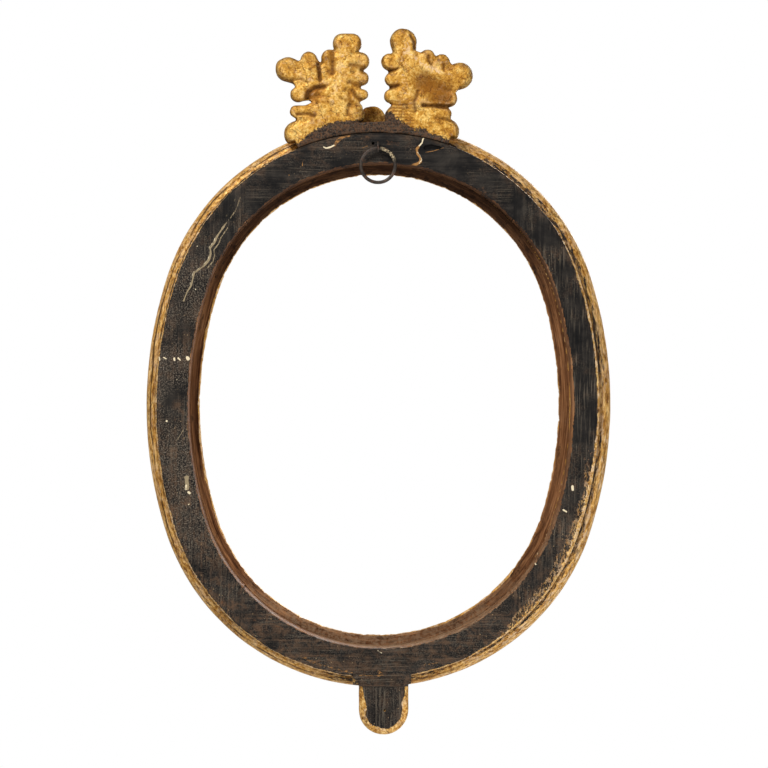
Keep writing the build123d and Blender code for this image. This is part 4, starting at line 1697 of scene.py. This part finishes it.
@dataclass
class Hanger:
    """Iron split pin in the top rail and the wire ring that hangs in its eye."""

    ring_radius: float = 13.5
    wire_radius: float = 1.42
    gap_direction: float = 131.0
    gap: float = 0.6
    rings: int = 168
    sides: int = 16
    pin_grid: float = 0.22

    def ring_mesh(self, centre: Vector) -> bpy.types.Mesh:
        """Sweep the hammered wire round the ring.

        Args:
            centre: Middle of the ring, in metres.

        Returns:
            The ring's mesh.
        """
        start = math.radians(self.gap_direction) + self.gap / (2 * self.ring_radius)
        sweep = 2 * math.pi - self.gap / self.ring_radius
        turns = start + sweep * np.linspace(0, 1, self.rings)
        rounds = 2 * np.pi * np.arange(self.sides) / self.sides
        turn, around = np.meshgrid(turns, rounds, indexing="ij")
        flat = np.stack([np.cos(turn), np.zeros_like(turn), np.sin(turn)], -1)
        rough = np.stack([20 * np.cos(turn), 4 * np.cos(around), 20 * np.sin(turn)], -1).reshape(-1, 3)
        dents = Grain(51).layered(rough, 4.5, 3).reshape(turn.shape)
        from_end = np.minimum(turn - start, start + sweep - turn) * self.ring_radius
        blunt = 1 - 0.3 * ease(from_end, 0.8, 0.0)
        wire = self.wire_radius * blunt * (1 - 0.1 * np.abs(dents))
        out = self.ring_radius + wire * np.cos(around)
        places = flat * out[..., None]
        places[..., 1] = wire * np.sin(around)
        mesh = bpy.data.meshes.new("hanging_ring_wire")
        faces = []
        for row in range(self.rings - 1):
            for side in range(self.sides):
                after = (side + 1) % self.sides
                low, high = row * self.sides, (row + 1) * self.sides
                faces.append((low + side, low + after, high + after, high + side))
        last = (self.rings - 1) * self.sides
        faces.append(tuple(reversed(range(self.sides))))
        faces.append(tuple(range(last, last + self.sides)))
        points = places.reshape(-1, 3) * MM + np.array(centre)
        mesh.from_pydata(points.tolist(), [], faces)
        mesh.update()
        pale = ease(from_end, 9.0, 4.0).ravel()
        mesh.attributes.new("fleck", "FLOAT", "POINT").data.foreach_set("value", pale.astype(np.float32))
        return mesh

    def dress(self) -> None:
        """Make and finish the pin and the ring."""
        iron = WroughtIron().material("wrought_iron_dark")
        pin = FinePiece("split_pin", fine_mesh(("split_pin",), self.pin_grid))
        pin.swell(0.07 * Grain(52).layered(pin.points(), 1.2, 2) - 0.07)
        pin.mark(fleck=0.0)
        pin.dress(iron, "wrought_iron")
        low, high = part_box("hanging_ring")
        mesh = self.ring_mesh((low + high) / 2)
        mesh.materials.append(iron)
        mesh.shade_smooth()
        ring = bpy.data.objects.new("hanging_ring_dressed", mesh)
        bpy.context.scene.collection.objects.link(ring)
        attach(ring, "ring")
        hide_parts("hanging_ring")
        LOG.info("%s: %d points", ring.name, len(mesh.vertices))


@dataclass
class HiddenWood:
    """Pegs and dowels inside the joints, which keep their CAD shapes."""

    names: tuple[str, ...] = ("lap_pegs", "crest_dowels")

    def dress(self) -> None:
        """Give the pegs and dowels a wood finish."""
        graph = Graph("peg_wood")
        finish = graph.finish(BareWood(Run.UPRIGHT).layer(graph), 0.2, 0.3)
        for name in self.names:
            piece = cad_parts[name]
            piece.data.materials.clear()
            piece.data.materials.append(finish)
            LOG.info("%s: CAD shape", name)


@dataclass(frozen=True)
class SoftLight:
    """A square studio light that looks at the frame's middle. Places are in metres."""

    name: str
    place: tuple[float, float, float]
    side: float
    power: float
    colour: tuple[float, float, float] = (1.0, 1.0, 1.0)

    def build(self) -> None:
        """Hang the light."""
        data = bpy.data.lights.new(self.name, "AREA")
        data.shape = "SQUARE"
        data.size = self.side
        data.energy = self.power
        data.color = self.colour
        lamp = bpy.data.objects.new(self.name, data)
        lamp.location = self.place
        lamp.rotation_euler = (-Vector(self.place)).to_track_quat("-Z", "Y").to_euler()
        bpy.context.scene.collection.objects.link(lamp)


@dataclass
class Studio:
    """Camera, lights, white surroundings and a pale floor well below the hung frame."""

    eye: tuple[float, float, float] = (0.60, 1409.7, 23.05)
    aim: tuple[float, float, float] = (-4.2, 0.0, 17.1)
    tilt: float = 0.006
    lens: float = 83.61
    sensor: float = 36.0
    floor_drop: float = 1.25
    floor_side: float = 3.0
    surround: float = 0.38
    lights: tuple[SoftLight, ...] = (
        SoftLight("key_light", (0.75, 1.2, 1.35), 0.5, 33.0, (1.0, 0.98, 0.95)),
        SoftLight("fill_light", (-1.2, 1.0, -0.7), 0.8, 14.0),
        SoftLight("front_light", (-0.5, -1.6, 0.6), 1.0, 34.0),
    )

    def camera(self) -> None:
        """Set up the camera at the photograph's viewing angle."""
        data = bpy.data.cameras.new("camera")
        data.lens = self.lens
        data.sensor_width = self.sensor
        forward = (Vector(self.aim) - Vector(self.eye)).normalized()
        right = forward.cross(Vector((self.tilt, 0, 1))).normalized()
        turned = Matrix((right, right.cross(forward), -forward)).transposed()
        camera = bpy.data.objects.new("camera", data)
        camera.matrix_world = Matrix.Translation(Vector(self.eye) * MM) @ turned.to_4x4()
        bpy.context.scene.collection.objects.link(camera)
        bpy.context.scene.camera = camera

    def surroundings(self) -> None:
        """Show plain white behind the frame and light it softly from all sides."""
        world = bpy.data.worlds.new("white_room")
        world.use_nodes = True
        nodes = world.node_tree.nodes
        nodes.clear()
        seen = nodes.new("ShaderNodeLightPath").outputs["Is Camera Ray"]
        strength = nodes.new("ShaderNodeMix")
        strength.inputs[2].default_value = self.surround
        strength.inputs[3].default_value = 1.0
        sky = nodes.new("ShaderNodeBackground")
        sky.inputs["Color"].default_value = (1, 1, 1, 1)
        out = nodes.new("ShaderNodeOutputWorld")
        links = world.node_tree.links
        links.new(seen, strength.inputs[0])
        links.new(strength.outputs[0], sky.inputs["Strength"])
        links.new(sky.outputs[0], out.inputs["Surface"])
        bpy.context.scene.world = world

    def floor(self) -> None:
        """Lay a pale floor below the frame."""
        mesh = bpy.data.meshes.new("pale_floor")
        half = self.floor_side / 2
        around = (-half, -half), (half, -half), (half, half), (-half, half)
        corners = [(x, y, -self.floor_drop) for x, y in around]
        mesh.from_pydata(corners, [], [(0, 1, 2, 3)])
        graph = Graph("pale_plaster")
        clouds = graph.noise(180, 3)
        colour = graph.ramp(clouds, (0.3, srgb(232, 231, 229)), (0.7, srgb(243, 242, 240)))
        mesh.materials.append(graph.finish(Look(colour, 0.85, 0.0, clouds), 0.2, 0.2))
        floor = bpy.data.objects.new("pale_floor", mesh)
        bpy.context.scene.collection.objects.link(floor)

    def build(self) -> None:
        """Set up the whole studio."""
        self.camera()
        self.surroundings()
        self.floor()
        for light in self.lights:
            light.build()
        bpy.context.scene.view_settings.view_transform = "Standard"


def sight_oval() -> Oval:
    """Work out the picture opening's oval from the outer corner of the moulding.

    Returns:
        The oval.
    """
    moulding_width = 43.0
    side_arc_centre = 150.0
    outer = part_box("moulding_top_right")[1] / MM
    return Oval(outer.x - moulding_width, outer.z - moulding_width, side_arc_centre)


def main() -> None:
    """Build the studio and dress every piece of the frame."""
    logging.basicConfig(level=logging.INFO, format="%(name)s %(message)s")
    oval = sight_oval()
    rim_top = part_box("moulding_top_right")[1].z / MM
    Studio().build()
    BackBoards(oval).dress()
    FrontMoulding(oval).dress()
    CarvedCrest(rim_top, CrownPaint(oval)).dress()
    Pendant(rim_top).dress()
    Hanger().dress()
    HiddenWood().dress()


if __name__ == "__main__":
    main()
